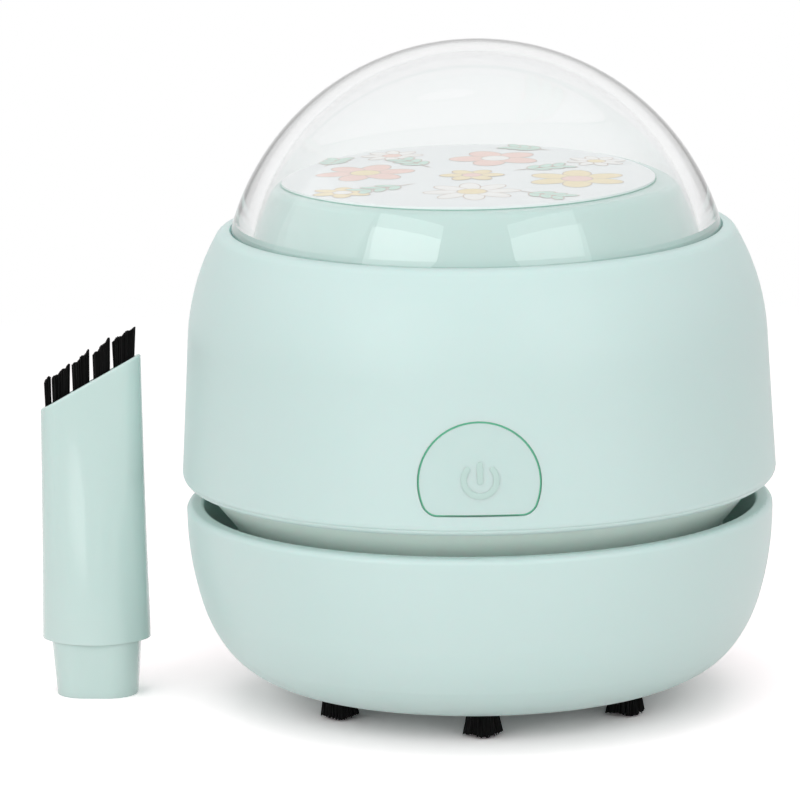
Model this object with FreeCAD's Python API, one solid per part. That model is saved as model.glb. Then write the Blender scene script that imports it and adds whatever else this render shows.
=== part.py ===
import FreeCAD, Part
import math
import os

# Desktop mini vacuum cleaner with its brush nozzle. Millimetres, +Z up.
# The origin lies on the floor under the cleaner's own axis; the button faces -Y.

overrun = 1.0                # cutting and joining solids run this far past the faces they meet
same_place = 1e-4            # points and edges closer than this count as the same
widest_corner = 0.49         # a corner's or an end's radius takes at most this share of a side

# ---- stance and dust bowl ----
tuft_reach = 4.0             # the bowl's underside stands this far above the floor
bowl_rim_r = 42.6
bowl_rim_band = 1.1          # straight band under the rim
bowl_rim_outer_round = 0.9
bowl_rim_inner_round = 0.5
bowl_wall = 2.5
bowl_upper_arc_r = 45.6      # three tangent arcs make the bowl's side, rim to underside
bowl_upper_arc_deg = 16.9    # slope from the vertical where an arc ends
bowl_middle_arc_r = 20.7
bowl_middle_arc_deg = 36.3
bowl_lower_arc_r = 12.8
rib_count = 8                # short ribs in the bowl carry the collar
rib_t = 1.4

# ---- bristle tufts under the bowl ----
tuft_count = 6
tuft_margin = 3.2            # from a tuft's middle to the edge of the bowl's flat underside
tuft_root_r = 2.2
tuft_tip_r = 2.8
tuft_socket_depth = 1.5
tuft_fit = 0.05

# ---- nozzle spigot, and the suction mouth that it plugs into ----
spigot_foot_w = 11.8
spigot_foot_d = 9.2
spigot_flare = 0.6           # the spigot grows by this on every side towards the body
spigot_corner_r = 4.2
spigot_length = 8.45
spigot_wall = 1.2
mouth_clearance = 0.25
duct_wall = 1.4
duct_flange_w = 2.2
duct_flange_t = 1.2
duct_short = 0.65            # a spigot that is plugged in stands out of the duct's top by this
duct_fit = 0.15

# ---- dust chamber, collar and plug ----
dust_headroom = 4.8          # from the duct's top to the filter
plug_depth = 3.8             # how deep the motor unit plugs into the collar
plug_inset = 8.6             # the plug's side lies this far inside the bowl's rim
plug_wall = 2.4
plug_clearance = 0.3
collar_t = 1.6               # shelf and sleeve
collar_fit = 0.15
collar_sleeve_below = 0.4    # the sleeve ends this far under the plug
seal_section_r = 0.65
seal_clearance = 0.08

# ---- filter ----
filter_frame_t = 1.3
filter_ring_w = 2.6
filter_spoke_w = 1.6
filter_spoke_count = 6
filter_hub_r = 4.0
filter_mesh_t = 0.2
filter_fit = 0.2
filter_lug_w = 4.0
filter_lug_reach = 0.9
filter_lug_count = 3

# ---- fan ----
screw_head_t = 1.0
screw_head_r = 2.3
screw_shank_r = 1.27
screw_hole_fit = 0.15
screw_pilot_fit = 0.03
screw_bite = 10.0            # length of screw inside the pillar
pilot_depth = 11.0
screw_head_gap = 0.15        # between the heads and the filter mesh
eye_plate_t = 1.6
eye_r = 9.5
eye_round = 0.7
impeller_side_gap = 1.1      # to the columns round the fan
impeller_gap_below = 0.7
impeller_gap_above = 0.8
impeller_plate_t = 1.0
impeller_hub_r = 3.6
blade_count = 12
blade_height = 5.0
blade_t = 0.9
blade_inner_r = 8.0
blade_curve_r = 19.0
blade_inlet_deg = 45.0       # the blade's angle from the radius where it starts
blade_sweep_deg = 62.0

# ---- fan housing ----
cup_step = 1.3               # the vented wall above the plug stands out by this
cup_wall = 1.8
neck_deg = 39.0              # slope of the neck from the vertical
deck_t = 2.0
vent_count = 24
vent_w = 5.0
column_r = 2.4
neck_recess = 0.6            # the neck's edge is set up inside the housing's lower edge

# ---- motor and shaft ----
motor_r = 12.2
motor_length = 30.8
motor_edge_round = 1.0
motor_boss_r = 3.1
motor_boss_h = 1.4
motor_socket_wall = 1.6
motor_socket_h = 6.0
motor_rib_gap = 2.1          # from a rib's end to the pillars' circle
motor_rib_h = 3.0
motor_rib_count = 3
motor_rib_first_deg = 30.0
motor_fit = 0.1
motor_screw_circle_r = 8.0
motor_screw_r = 0.98
motor_screw_bite = 2.5
motor_screw_head_r = 1.9
shaft_r = 1.0
shaft_running_fit = 0.04
shaft_below_plate = 4.0
shaft_above_motor = 1.0
terminal_w = 2.2
terminal_t = 0.5
terminal_h = 2.4
terminal_spacing = 11.0

# ---- upper housing ----
slot_gap = 3.2               # exhaust slot between bowl rim and housing
skirt_overhang = 0.6         # the housing's lower edge stands out past the bowl's rim
skirt_taper_deg = 3.3
skirt_h = 21.4
skirt_edge_round = 1.6
shoulder_arc_r = 33.0
shoulder_end_deg = 30.0
lip_round_r = 1.8
lip_t = 2.4
housing_wall = 2.8
rebate_wall = 2.1            # wall left at the lower edge, where the fan housing seats
rebate_h = 2.6
rebate_fit = 0.15

# ---- dome, plinth and card ----
dome_inset = 7.8             # the dome's side lies this far inside the housing's lower edge
dome_bulge = 1.4             # the ball's radius is this much more than the dome's side
dome_wall = 2.8
dome_lip_gap = 0.25
dome_rise = 0.15             # the sphere starts this far above the lip
dome_flange_w = 1.3
dome_flange_t = 1.3
flange_fit = 0.2
plinth_gap = 0.3
plinth_flange_t = 1.6
plinth_wall = 1.8
plinth_height = 6.3          # top of the plinth above the lip
plinth_straight_below = 0.4  # the side turns in this far below the lip's top
plinth_side_deg = 26.5
plinth_edge_round = 1.6
pillar_inset = 6.6           # the pillars' circle lies this far inside the plug's bore
pillar_r = 2.6
pillar_deg = 20.0            # pillars stand this far either side of the X axis
card_margin = 2.06           # the card ends this far inside the plinth's top corner
card_t = 0.4
card_offset_x = -1.0

# ---- power button, switch and board ----
button_r = 8.42
button_drop = 4.45           # flat lower edge below the round's centre
button_corner_r = 2.1
button_height = 7.7          # the round's centre above the housing's lower edge
button_gap = 0.3
button_flange_w = 1.1
button_flange_t = 1.2
button_flange_gap = 0.15
button_flange_clear = 0.3
button_stem_r = 2.2
switch_size = 6.0
switch_depth = 3.5
switch_plunger_r = 1.7
switch_plunger_proud = 1.0
switch_plunger_in = 1.1
switch_fit = 0.1
switch_free = 0.8
switch_rise = 1.0            # switch centre above the round's centre
board_setback = 11.2         # from the housing's widest outside to the board's face
board_w = 21.8
board_h = 22.0
board_t = 1.6
board_fit = 0.15
guide_w = 3.0
guide_d = 4.4
guide_h = 14.0
guide_groove = 0.9

# ---- battery ----
battery_r = 7.0
battery_length = 43.0
battery_round = 0.5
battery_nub_r = 2.7
battery_nub_h = 1.2
battery_motor_gap = 0.1      # to the motor's socket
cradle_floor_t = 1.3
cradle_fit = 0.05
saddle_t = 1.6
saddle_inset = 3.0
cradle_w = 9.0
cradle_short = 11.0          # the cradle is this much shorter than the cell

# ---- charging port ----
port_height = 21.0           # above the housing's lower edge
port_w = 8.94
port_h = 3.26
port_depth = 7.3
port_shell_t = 0.3
port_tongue_w = 6.6
port_tongue_t = 0.7
port_tongue_inset = 1.0
port_recess = 0.7
port_hole_gap = 0.2
charge_board_w = 14.0
charge_board_d = 11.0
charge_board_t = 1.0
charge_board_overhang = 3.6  # the port reaches this far past the board's edge
ledge_w = 1.6
ledge_spacing = 11.0
ledge_t = 1.5

# ---- leads ----
lead_r = 0.6
lead_bend_r = 3.0
lead_run = 9.0               # a motor lead's straight run and bend before it turns upwards
lead_on_board = 2.5

# ---- brush nozzle, standing on the floor at the cleaner's left ----
nozzle_x = -56.55
nozzle_y = 6.0
nozzle_turn_deg = -4.0
nozzle_base_w = 15.9         # its cross-sections are ovals, round at the foot and flat at the mouth
nozzle_base_d = 12.9
nozzle_base_end_r = 5.0
nozzle_band_h = 3.65         # the side is nearly straight this far up
nozzle_band_w = 15.84
nozzle_band_d = 12.8
nozzle_band_end_r = 4.95
nozzle_shoulder_w = 15.5
nozzle_shoulder_d = 11.2
nozzle_shoulder_end_r = 4.4
nozzle_shoulder_z = 20.0
nozzle_waist_w = 15.1
nozzle_waist_d = 7.6
nozzle_waist_end_r = 3.3
nozzle_waist_z = 34.0
nozzle_lip_w = 14.7
nozzle_lip_d = 4.8
nozzle_lip_end_r = 2.2
nozzle_lip_z = 54.0
nozzle_lip_round = 0.3
nozzle_wall = 1.1
nozzle_mouth_z = 46.65       # height of the slanted mouth on the nozzle's axis
nozzle_slant_deg = 29.5
nozzle_mouth_tilt_deg = 3.5  # the front lip stands a little higher than the rear one
nozzle_plate_t = 1.9
nozzle_plate_fit = 0.1
tuft_bar_d = 2.3
tuft_bar_h = 2.6
tuft_bar_recess = 0.9
brush_pitch = 3.05
brush_count = 4
brush_first_x = 4.6
brush_w = 1.9
brush_end_w = 0.3
brush_end_x = -6.1
brush_d = 1.1
brush_reach = 4.3
brush_root = 1.6
brush_spread = 0.15          # each side of a tuft widens by this share of its width

# ---- radii and levels worked out from the sizes above ----
skirt_r = bowl_rim_r + skirt_overhang
plug_r = bowl_rim_r - plug_inset
cup_r = plug_r + cup_step
dome_seat_r = skirt_r - dome_inset
dome_sphere_r = dome_seat_r + dome_bulge
spigot_top_w = spigot_foot_w + 2 * spigot_flare
spigot_top_d = spigot_foot_d + 2 * spigot_flare
bowl_floor_z = tuft_reach
duct_height = spigot_length - duct_short
duct_top_z = bowl_floor_z + duct_height
plug_bottom_z = duct_top_z + dust_headroom
shelf_top_z = plug_bottom_z + plug_depth
plug_bore_r = plug_r - plug_wall
pillar_circle_r = plug_bore_r - pillar_inset
impeller_r = pillar_circle_r - column_r - impeller_side_gap
motor_socket_r = motor_r + motor_fit + motor_socket_wall
battery_y = motor_socket_r + battery_motor_gap + battery_r
cradle_length = battery_length - cradle_short
sleeve_r = plug_r + plug_clearance
eye_bottom_z = plug_bottom_z + filter_frame_t + filter_mesh_t + screw_head_gap + screw_head_t
eye_top_z = eye_bottom_z + eye_plate_t
blade_low_z = eye_top_z + impeller_gap_below
blade_top_z = blade_low_z + blade_height
impeller_top_z = blade_top_z + impeller_plate_t
deck_low_z = impeller_top_z + impeller_gap_above
deck_top_z = deck_low_z + deck_t
motor_top_z = deck_top_z + motor_length


def slope_arc(start, radius, slope_in, slope_out, rise):
    """Middle and end of an arc in the (r, z) plane that leaves start at slope_in degrees from the
    vertical and bends towards the axis until slope_out; rise is +1 going up, -1 going down."""
    def on_arc(slope):
        turn = math.radians(slope)
        return radius * math.cos(turn), rise * radius * math.sin(turn)

    first = on_arc(slope_in)
    centre = (start[0] - first[0], start[1] - first[1])
    middle = on_arc((slope_in + slope_out) / 2)
    end = on_arc(slope_out)
    return (
        (centre[0] + middle[0], centre[1] + middle[1]),
        (centre[0] + end[0], centre[1] + end[1]),
    )


def at(point):
    return FreeCAD.Vector(point[0], 0, point[1])


def turned(path):
    """Solid of revolution about Z. Path holds (r, z) points; a pair of points is an arc's middle and end."""
    edges = []
    here = path[0]
    for step in path[1:] + [path[0]]:
        arc = isinstance(step[0], tuple)
        there = step[1] if arc else step
        if arc:
            edges.append(Part.Arc(at(here), at(step[0]), at(there)).toShape())
        elif at(here).distanceToPoint(at(there)) > same_place:
            edges.append(Part.LineSegment(at(here), at(there)).toShape())
        here = there
    face = Part.Face(Part.Wire(edges))
    return face.revolve(FreeCAD.Vector(0, 0, 0), FreeCAD.Vector(0, 0, 1), 360)


def cylinder(radius, low, high, x=0.0, y=0.0):
    return Part.makeCylinder(radius, high - low, FreeCAD.Vector(x, y, low))


def cylinder_y(radius, front, back, x, z):
    return Part.makeCylinder(
        radius, back - front, FreeCAD.Vector(x, front, z), FreeCAD.Vector(0, 1, 0)
    )


def cylinder_x(radius, left, right, y, z):
    return Part.makeCylinder(
        radius, right - left, FreeCAD.Vector(left, y, z), FreeCAD.Vector(1, 0, 0)
    )


def ring(inner, outer, low, high):
    return cylinder(outer, low, high).cut(cylinder(inner, low - overrun, high + overrun))


def block(x0, x1, y0, y1, z0, z1):
    return Part.makeBox(x1 - x0, y1 - y0, z1 - z0, FreeCAD.Vector(x0, y0, z0))


def around(shape, count, first_deg=0.0):
    """Copies of a shape spaced evenly about the Z axis."""
    copies = []
    for i in range(count):
        copy = shape.copy()
        copy.rotate(FreeCAD.Vector(0, 0, 0), FreeCAD.Vector(0, 0, 1), first_deg + 360.0 * i / count)
        copies.append(copy)
    return copies


def rounded(shape, radius, circles):
    """Fillets the circular edges that are named by their radius and height."""
    edges = []
    for edge in shape.Edges:
        if not isinstance(edge.Curve, Part.Circle):
            continue
        for circle_r, circle_z in circles:
            same_r = abs(edge.Curve.Radius - circle_r) < same_place
            same_z = abs(edge.Curve.Center.z - circle_z) < same_place
            if same_r and same_z:
                edges.append(edge)
    return shape.makeFillet(radius, edges)


def rounded_rectangle(width, depth, corner, z):
    """Closed wire of a rectangle with round corners, centred on the Z axis."""
    corner = min(corner, widest_corner * width, widest_corner * depth)
    flat_x = width / 2 - corner
    flat_y = depth / 2 - corner
    edges = []
    last = None
    for quarter, (cx, cy) in enumerate(
        ((flat_x, flat_y), (-flat_x, flat_y), (-flat_x, -flat_y), (flat_x, -flat_y))
    ):
        points = []
        for step in range(3):
            angle = math.radians(90 * quarter + 45 * step)
            points.append(
                FreeCAD.Vector(cx + corner * math.cos(angle), cy + corner * math.sin(angle), z)
            )
        if last is not None:
            edges.append(Part.LineSegment(last, points[0]).toShape())
        edges.append(Part.Arc(*points).toShape())
        last = points[2]
    edges.append(Part.LineSegment(last, edges[0].Vertexes[0].Point).toShape())
    return Part.Wire(edges)


def oval(width, depth, end_r, z):
    """Closed wire of four tangent arcs: two ends of end_r on the X axis, two wider arcs front and back."""
    end_r = min(end_r, widest_corner * depth)
    end_x = width / 2 - end_r
    half = depth / 2
    side_r = (end_x ** 2 + half ** 2 - end_r ** 2) / (2 * (half - end_r))
    reach = side_r / (side_r - end_r)
    touch_x = reach * end_x
    touch_y = (side_r - half) * (reach - 1)

    def point(x, y):
        return FreeCAD.Vector(x, y, z)

    edges = []
    for sign in (-1, 1):
        edges.append(Part.Arc(
            point(sign * touch_x, sign * touch_y),
            point(0, sign * half),
            point(-sign * touch_x, sign * touch_y),
        ).toShape())
        edges.append(Part.Arc(
            point(-sign * touch_x, sign * touch_y),
            point(-sign * width / 2, 0),
            point(-sign * touch_x, -sign * touch_y),
        ).toShape())
    return Part.Wire(edges)


def rounded_plate(width, depth, corner, low, high):
    outline = rounded_rectangle(width, depth, corner, low)
    return Part.Face(outline).extrude(FreeCAD.Vector(0, 0, high - low))


def pillar_places():
    places = []
    for angle in (pillar_deg, 180 - pillar_deg, 180 + pillar_deg, -pillar_deg):
        turn = math.radians(angle)
        places.append((pillar_circle_r * math.cos(turn), pillar_circle_r * math.sin(turn)))
    return places


# ---- the bowl's and the housing's side curves, which several pieces share ----

bowl_arcs = (
    (bowl_upper_arc_r, bowl_upper_arc_deg),
    (bowl_middle_arc_r, bowl_middle_arc_deg),
    (bowl_lower_arc_r, 90.0),
)


def bowl_side_extent():
    """Height of the bowl's three arcs, and how far they run in towards the axis."""
    height = 0.0
    run = 0.0
    slope = 0.0
    for radius, end in bowl_arcs:
        height += radius * (math.sin(math.radians(end)) - math.sin(math.radians(slope)))
        run += radius * (math.cos(math.radians(slope)) - math.cos(math.radians(end)))
        slope = end
    return height, run


bowl_side_height, bowl_side_run = bowl_side_extent()
bowl_arc_top_z = bowl_floor_z + bowl_side_height
tuft_circle_r = bowl_rim_r - bowl_side_run - tuft_margin
bowl_rim_z = bowl_arc_top_z + bowl_rim_band
housing_low_z = bowl_rim_z + slot_gap
neck_top_z = housing_low_z + rebate_h
neck_rim_r = skirt_r - rebate_wall - rebate_fit
shoulder_z = housing_low_z + skirt_h


def bowl_form(inset, top):
    """The bowl's outside moved inwards by inset, closed flat at height top."""
    path = [(0, top), (bowl_rim_r - inset, top)]
    here = (bowl_rim_r - inset, bowl_arc_top_z)
    path.append(here)
    slope = 0.0
    for radius, end in bowl_arcs:
        middle, here = slope_arc(here, radius - inset, slope, end, -1)
        path.append((middle, here))
        slope = end
    path.append((0, here[1]))
    return turned(path)


def shoulder_start(inset):
    """Where the housing's straight skirt meets its shoulder, moved inwards by inset."""
    turn = math.radians(skirt_taper_deg)
    outer_r = skirt_r - skirt_h * math.tan(turn)
    return (outer_r - inset * math.cos(turn), shoulder_z - inset * math.sin(turn))


def lip_top():
    """Height of the housing's lip, where its rounding ends flat."""
    middle, end = slope_arc(shoulder_start(0), shoulder_arc_r, skirt_taper_deg, shoulder_end_deg, 1)
    middle, end = slope_arc(end, lip_round_r, shoulder_end_deg, 90.0, 1)
    return end[1]


lip_z = lip_top()
seat_z = lip_z - lip_t
dome_flange_low_z = seat_z - dome_flange_t
plinth_flange_low_z = dome_flange_low_z - plinth_flange_t
flange_r = dome_seat_r + dome_flange_w
plinth_top_z = lip_z + plinth_height
plinth_base_r = dome_seat_r - dome_wall - plinth_gap
plinth_top_r = plinth_base_r - (plinth_height + plinth_straight_below) * math.tan(
    math.radians(plinth_side_deg)
)
card_r = plinth_top_r - card_margin
button_z = housing_low_z + button_height
port_z = housing_low_z + port_height
board_face_y = -(skirt_r - board_setback)
board_back_y = board_face_y + board_t


def housing_form(inset, low):
    """The housing's outside moved inwards by inset, from height low up to its lip."""
    start = shoulder_start(inset)
    taper = math.tan(math.radians(skirt_taper_deg))
    path = [(0, low), (start[0] + (start[1] - low) * taper, low), start]
    middle, end = slope_arc(
        start, shoulder_arc_r - inset, skirt_taper_deg, shoulder_end_deg, 1
    )
    path.append((middle, end))
    if inset == 0:
        middle, end = slope_arc(end, lip_round_r, shoulder_end_deg, 90.0, 1)
        path.append((middle, end))
    path.append((0, end[1]))
    return turned(path)


# ---- base: bowl, collar, duct, tufts ----

def dust_bowl():
    bowl = bowl_form(0, bowl_rim_z).cut(bowl_form(bowl_wall, bowl_rim_z + overrun))
    bowl = rounded(bowl, bowl_rim_outer_round, [(bowl_rim_r, bowl_rim_z)])
    bowl = rounded(bowl, bowl_rim_inner_round, [(bowl_rim_r - bowl_wall, bowl_rim_z)])
    rib_inner_r = sleeve_r + collar_t + collar_fit
    rib = block(
        rib_inner_r, bowl_rim_r, -rib_t / 2, rib_t / 2, bowl_floor_z, shelf_top_z - collar_t
    )
    inside = bowl_form(bowl_wall / 2, bowl_rim_z)
    for one in around(rib, rib_count, 180.0 / rib_count):
        bowl = bowl.fuse(one.common(inside))
    mouth = duct_loft(duct_wall + duct_fit, bowl_floor_z - overrun, duct_top_z)
    bowl = bowl.cut(mouth)
    for x, y in tuft_places():
        socket = cylinder(
            tuft_root_r + tuft_fit, bowl_floor_z - overrun, bowl_floor_z + tuft_socket_depth, x, y
        )
        bowl = bowl.cut(socket)
    return bowl.removeSplitter()


def bowl_collar():
    """Shelf that closes the exhaust space off from the dust, with the sleeve that holds the plug."""
    shelf = cylinder(bowl_rim_r, shelf_top_z - collar_t, shelf_top_z)
    shelf = shelf.common(bowl_form(bowl_wall + collar_fit, bowl_rim_z))
    sleeve = cylinder(sleeve_r + collar_t, plug_bottom_z - collar_sleeve_below, shelf_top_z)
    bore = cylinder(sleeve_r, bowl_floor_z, bowl_rim_z)
    return shelf.fuse(sleeve).cut(bore).removeSplitter()


def duct_loft(grow, low, high):
    """The spigot's taper, grown on every side, as the solid between two heights."""
    rate = 2 * spigot_flare / spigot_length
    wires = []
    for z in (low, high):
        narrow = rate * (z - bowl_floor_z)
        width = spigot_top_w + 2 * (mouth_clearance + grow) - narrow
        depth = spigot_top_d + 2 * (mouth_clearance + grow) - narrow
        wires.append(rounded_rectangle(width, depth, spigot_corner_r + grow, z))
    return Part.makeLoft(wires, True, True)


def inlet_duct():
    """Riser that takes the nozzle's spigot and keeps the dust from falling back out."""
    tube = duct_loft(duct_wall, bowl_floor_z, duct_top_z)
    floor_top = bowl_floor_z + bowl_wall
    flange = rounded_plate(
        spigot_top_w + 2 * (duct_wall + duct_flange_w),
        spigot_top_d + 2 * (duct_wall + duct_flange_w),
        spigot_corner_r + duct_flange_w,
        floor_top,
        floor_top + duct_flange_t,
    )
    passage = duct_loft(0, bowl_floor_z - overrun, duct_top_z + overrun)
    return tube.fuse(flange).cut(passage).removeSplitter()


def tuft_places():
    places = []
    for i in range(tuft_count):
        turn = math.radians(-90 + 360.0 * i / tuft_count)
        places.append((tuft_circle_r * math.cos(turn), tuft_circle_r * math.sin(turn)))
    return places


def base_tufts():
    tufts = []
    for x, y in tuft_places():
        root = cylinder(tuft_root_r, bowl_floor_z, bowl_floor_z + tuft_socket_depth, x, y)
        flare = Part.makeCone(tuft_tip_r, tuft_root_r, tuft_reach, FreeCAD.Vector(x, y, 0))
        tufts.append(root.fuse(flare).removeSplitter())
    return Part.makeCompound(tufts)


# ---- motor unit: fan housing, plate, filter, seal ----

def fan_housing():
    """Cup with a vented wall, a plug below, a neck that flares out to the housing, and a motor deck."""
    neck_tan = math.tan(math.radians(neck_deg))
    neck_low_z = housing_low_z + neck_recess - (neck_rim_r - cup_r) / neck_tan
    neck_wall = cup_wall / math.cos(math.radians(neck_deg))
    outside = turned([
        (0, plug_bottom_z),
        (plug_r, plug_bottom_z),
        (plug_r, shelf_top_z),
        (cup_r, shelf_top_z),
        (cup_r, neck_low_z),
        (neck_rim_r, housing_low_z + neck_recess),
        (neck_rim_r, neck_top_z),
        (0, neck_top_z),
    ])
    cup_bore_r = cup_r - cup_wall
    inner_neck_z = neck_low_z + (neck_wall - cup_wall) / neck_tan
    rim_bore_r = neck_rim_r - cup_wall
    rim_bore_z = inner_neck_z + (rim_bore_r - cup_bore_r) / neck_tan
    well = turned([
        (0, deck_top_z),
        (cup_bore_r + max(0.0, deck_top_z - inner_neck_z) * neck_tan, deck_top_z),
        (rim_bore_r, rim_bore_z),
        (rim_bore_r, neck_top_z + overrun),
        (0, neck_top_z + overrun),
    ])
    chamber = cylinder(cup_bore_r, eye_top_z, deck_low_z)
    bore = cylinder(plug_bore_r, plug_bottom_z - overrun, eye_top_z)
    cup = outside.cut(well).cut(chamber).cut(bore)
    cup = cup.cut(seal_groove())
    vent = block(plug_bore_r, cup_r + overrun, -vent_w / 2, vent_w / 2, blade_low_z, blade_top_z)
    for one in around(vent, vent_count, 180.0 / vent_count):
        cup = cup.cut(one)
    for x, y in pillar_places():
        cup = cup.fuse(cylinder(column_r, eye_top_z, deck_low_z, x, y))
        cup = cup.cut(cylinder(
            screw_shank_r + screw_hole_fit, eye_top_z - overrun, deck_top_z + overrun, x, y
        ))
    cup = cup.fuse(motor_socket()).fuse(board_guides())
    cup = cup.cut(cylinder(motor_boss_r + motor_fit, deck_low_z - overrun, deck_top_z + overrun))
    for x in (-motor_screw_circle_r, motor_screw_circle_r):
        cup = cup.cut(cylinder(
            motor_screw_r + motor_fit, deck_low_z - overrun, deck_top_z + overrun, x
        ))
        cup = cup.cut(motor_screw_head(x, motor_fit))
    for notch in around(filter_lug(filter_fit, plug_bottom_z - overrun), filter_lug_count, 90.0):
        cup = cup.cut(notch)
    return cup.removeSplitter()


def seal_level():
    return shelf_top_z - plug_depth / 2 + seal_section_r / 2


def seal_groove():
    level = seal_level()
    floor_r = sleeve_r - seal_clearance - 2 * seal_section_r
    half = seal_section_r + seal_clearance
    return ring(floor_r - seal_clearance, plug_r + overrun, level - half, level + half)


def seal_ring():
    middle_r = sleeve_r - seal_clearance - seal_section_r
    return Part.makeTorus(middle_r, seal_section_r, FreeCAD.Vector(0, 0, seal_level()))


def motor_socket():
    socket = ring(
        motor_r + motor_fit, motor_socket_r, deck_top_z, deck_top_z + motor_socket_h
    )
    rib = block(
        motor_socket_r - motor_socket_wall / 2, pillar_circle_r - pillar_r - motor_rib_gap,
        -motor_socket_wall / 2, motor_socket_wall / 2,
        deck_low_z + deck_t / 2, deck_top_z + motor_rib_h,
    )
    for one in around(rib, motor_rib_count, motor_rib_first_deg):
        socket = socket.fuse(one)
    return socket


def board_guides():
    """Two posts with grooves that hold the control board upright behind the button."""
    guides = None
    for side in (-1, 1):
        inner = side * (board_w / 2 - guide_groove)
        outer = inner + side * guide_w
        middle_y = board_face_y + board_t / 2
        post = block(
            min(inner, outer), max(inner, outer),
            middle_y - guide_d / 2, middle_y + guide_d / 2,
            deck_low_z + deck_t / 2, deck_top_z + guide_h,
        )
        groove_end = side * (board_w / 2 + board_fit)
        groove = block(
            min(0.0, groove_end), max(0.0, groove_end),
            board_face_y - board_fit, board_back_y + board_fit,
            deck_top_z, deck_top_z + guide_h + overrun,
        )
        post = post.cut(groove)
        guides = post if guides is None else guides.fuse(post)
    return guides


def motor_screw_head(x, grow):
    """Countersunk head, flush with the underside of the deck."""
    height = motor_screw_head_r - motor_screw_r
    return Part.makeCone(
        motor_screw_head_r + grow, motor_screw_r + grow, height, FreeCAD.Vector(x, 0, deck_low_z)
    )


def fan_eye_plate():
    """Plate that closes the fan chamber from below, with a rounded eye for the air."""
    plate = ring(eye_r, plug_bore_r - filter_fit, eye_bottom_z, eye_top_z)
    plate = rounded(plate, eye_round, [(eye_r, eye_bottom_z), (eye_r, eye_top_z)])
    for x, y in pillar_places():
        plate = plate.cut(cylinder(
            screw_shank_r + screw_hole_fit, eye_bottom_z - overrun, eye_top_z + overrun, x, y
        ))
    return plate


def filter_lug(grow, low):
    reach = plug_bore_r - filter_fit + filter_lug_reach + grow
    return block(
        plug_bore_r - filter_ring_w, reach,
        -filter_lug_w / 2 - grow, filter_lug_w / 2 + grow,
        low, plug_bottom_z + filter_frame_t + grow,
    )


def filter_frame():
    low = plug_bottom_z
    high = plug_bottom_z + filter_frame_t
    outer_r = plug_bore_r - filter_fit
    frame = ring(outer_r - filter_ring_w, outer_r, low, high)
    for lug in around(filter_lug(0, low), filter_lug_count, 90.0):
        frame = frame.fuse(lug)
    spoke = block(
        filter_hub_r / 2, outer_r - filter_ring_w / 2,
        -filter_spoke_w / 2, filter_spoke_w / 2, low, high,
    )
    frame = frame.fuse(cylinder(filter_hub_r, low, high))
    for one in around(spoke, filter_spoke_count):
        frame = frame.fuse(one)
    return frame.removeSplitter()


def filter_mesh():
    low = plug_bottom_z + filter_frame_t
    return cylinder(plug_bore_r - filter_fit - filter_ring_w / 2, low, low + filter_mesh_t)


# ---- rotor ----

def blade():
    """One backward-curved blade: a strip along an arc, trimmed to the wheel."""
    heading = math.radians(-blade_inlet_deg)
    centre_x = blade_inner_r + blade_curve_r * math.sin(heading)
    centre_y = -blade_curve_r * math.cos(heading)
    start = math.atan2(-centre_y, blade_inner_r - centre_x)

    def on_strip(radius, share):
        angle = start - share * math.radians(blade_sweep_deg)
        return FreeCAD.Vector(
            centre_x + radius * math.cos(angle), centre_y + radius * math.sin(angle), blade_low_z
        )

    inner = blade_curve_r - blade_t / 2
    outer = blade_curve_r + blade_t / 2
    near = [on_strip(inner, share) for share in (0, 0.5, 1)]
    far = [on_strip(outer, share) for share in (1, 0.5, 0)]
    outline = Part.Wire([
        Part.Arc(*near).toShape(),
        Part.LineSegment(near[2], far[0]).toShape(),
        Part.Arc(*far).toShape(),
        Part.LineSegment(far[2], near[0]).toShape(),
    ])
    strip = Part.Face(outline).extrude(FreeCAD.Vector(0, 0, blade_height + impeller_plate_t / 2))
    return strip.common(cylinder(impeller_r, blade_low_z, impeller_top_z))


def impeller():
    wheel = cylinder(impeller_r, blade_top_z, impeller_top_z)
    wheel = wheel.fuse(cylinder(impeller_hub_r, blade_low_z, impeller_top_z))
    wheel = wheel.multiFuse(around(blade(), blade_count))
    wheel = wheel.cut(cylinder(shaft_r, blade_low_z - overrun, impeller_top_z + overrun))
    return wheel.removeSplitter()


def motor_shaft():
    return cylinder(shaft_r, impeller_top_z - shaft_below_plate, motor_top_z + shaft_above_motor)


def motor_can():
    low = deck_top_z
    can = cylinder(motor_r, low, motor_top_z)
    can = rounded(can, motor_edge_round, [(motor_r, low), (motor_r, motor_top_z)])
    can = can.fuse(cylinder(motor_boss_r, low - motor_boss_h, low + overrun))
    for side in (-1, 1):
        x = side * terminal_spacing / 2
        can = can.fuse(block(
            x - terminal_t / 2, x + terminal_t / 2, -terminal_w / 2, terminal_w / 2,
            motor_top_z - overrun, motor_top_z + terminal_h,
        ))
        can = can.cut(cylinder(
            motor_screw_r + screw_pilot_fit, low - overrun, low + motor_screw_bite,
            side * motor_screw_circle_r,
        ))
    can = can.cut(cylinder(
        shaft_r + shaft_running_fit, low - motor_boss_h - overrun, motor_top_z + overrun
    ))
    return can.removeSplitter()


def motor_screws():
    screws = []
    for x in (-motor_screw_circle_r, motor_screw_circle_r):
        shank = cylinder(motor_screw_r, deck_low_z, deck_top_z + motor_screw_bite, x)
        screws.append(shank.fuse(motor_screw_head(x, 0)).removeSplitter())
    return Part.makeCompound(screws)


def case_screws():
    """Long screws from under the eye plate into the plinth's pillars; they clamp the whole unit."""
    screws = []
    for x, y in pillar_places():
        head = cylinder(screw_head_r, eye_bottom_z - screw_head_t, eye_bottom_z, x, y)
        shank = cylinder(screw_shank_r, eye_bottom_z, deck_top_z + screw_bite, x, y)
        screws.append(head.fuse(shank).removeSplitter())
    return Part.makeCompound(screws)


# ---- upper housing, plinth, dome, card ----

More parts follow.
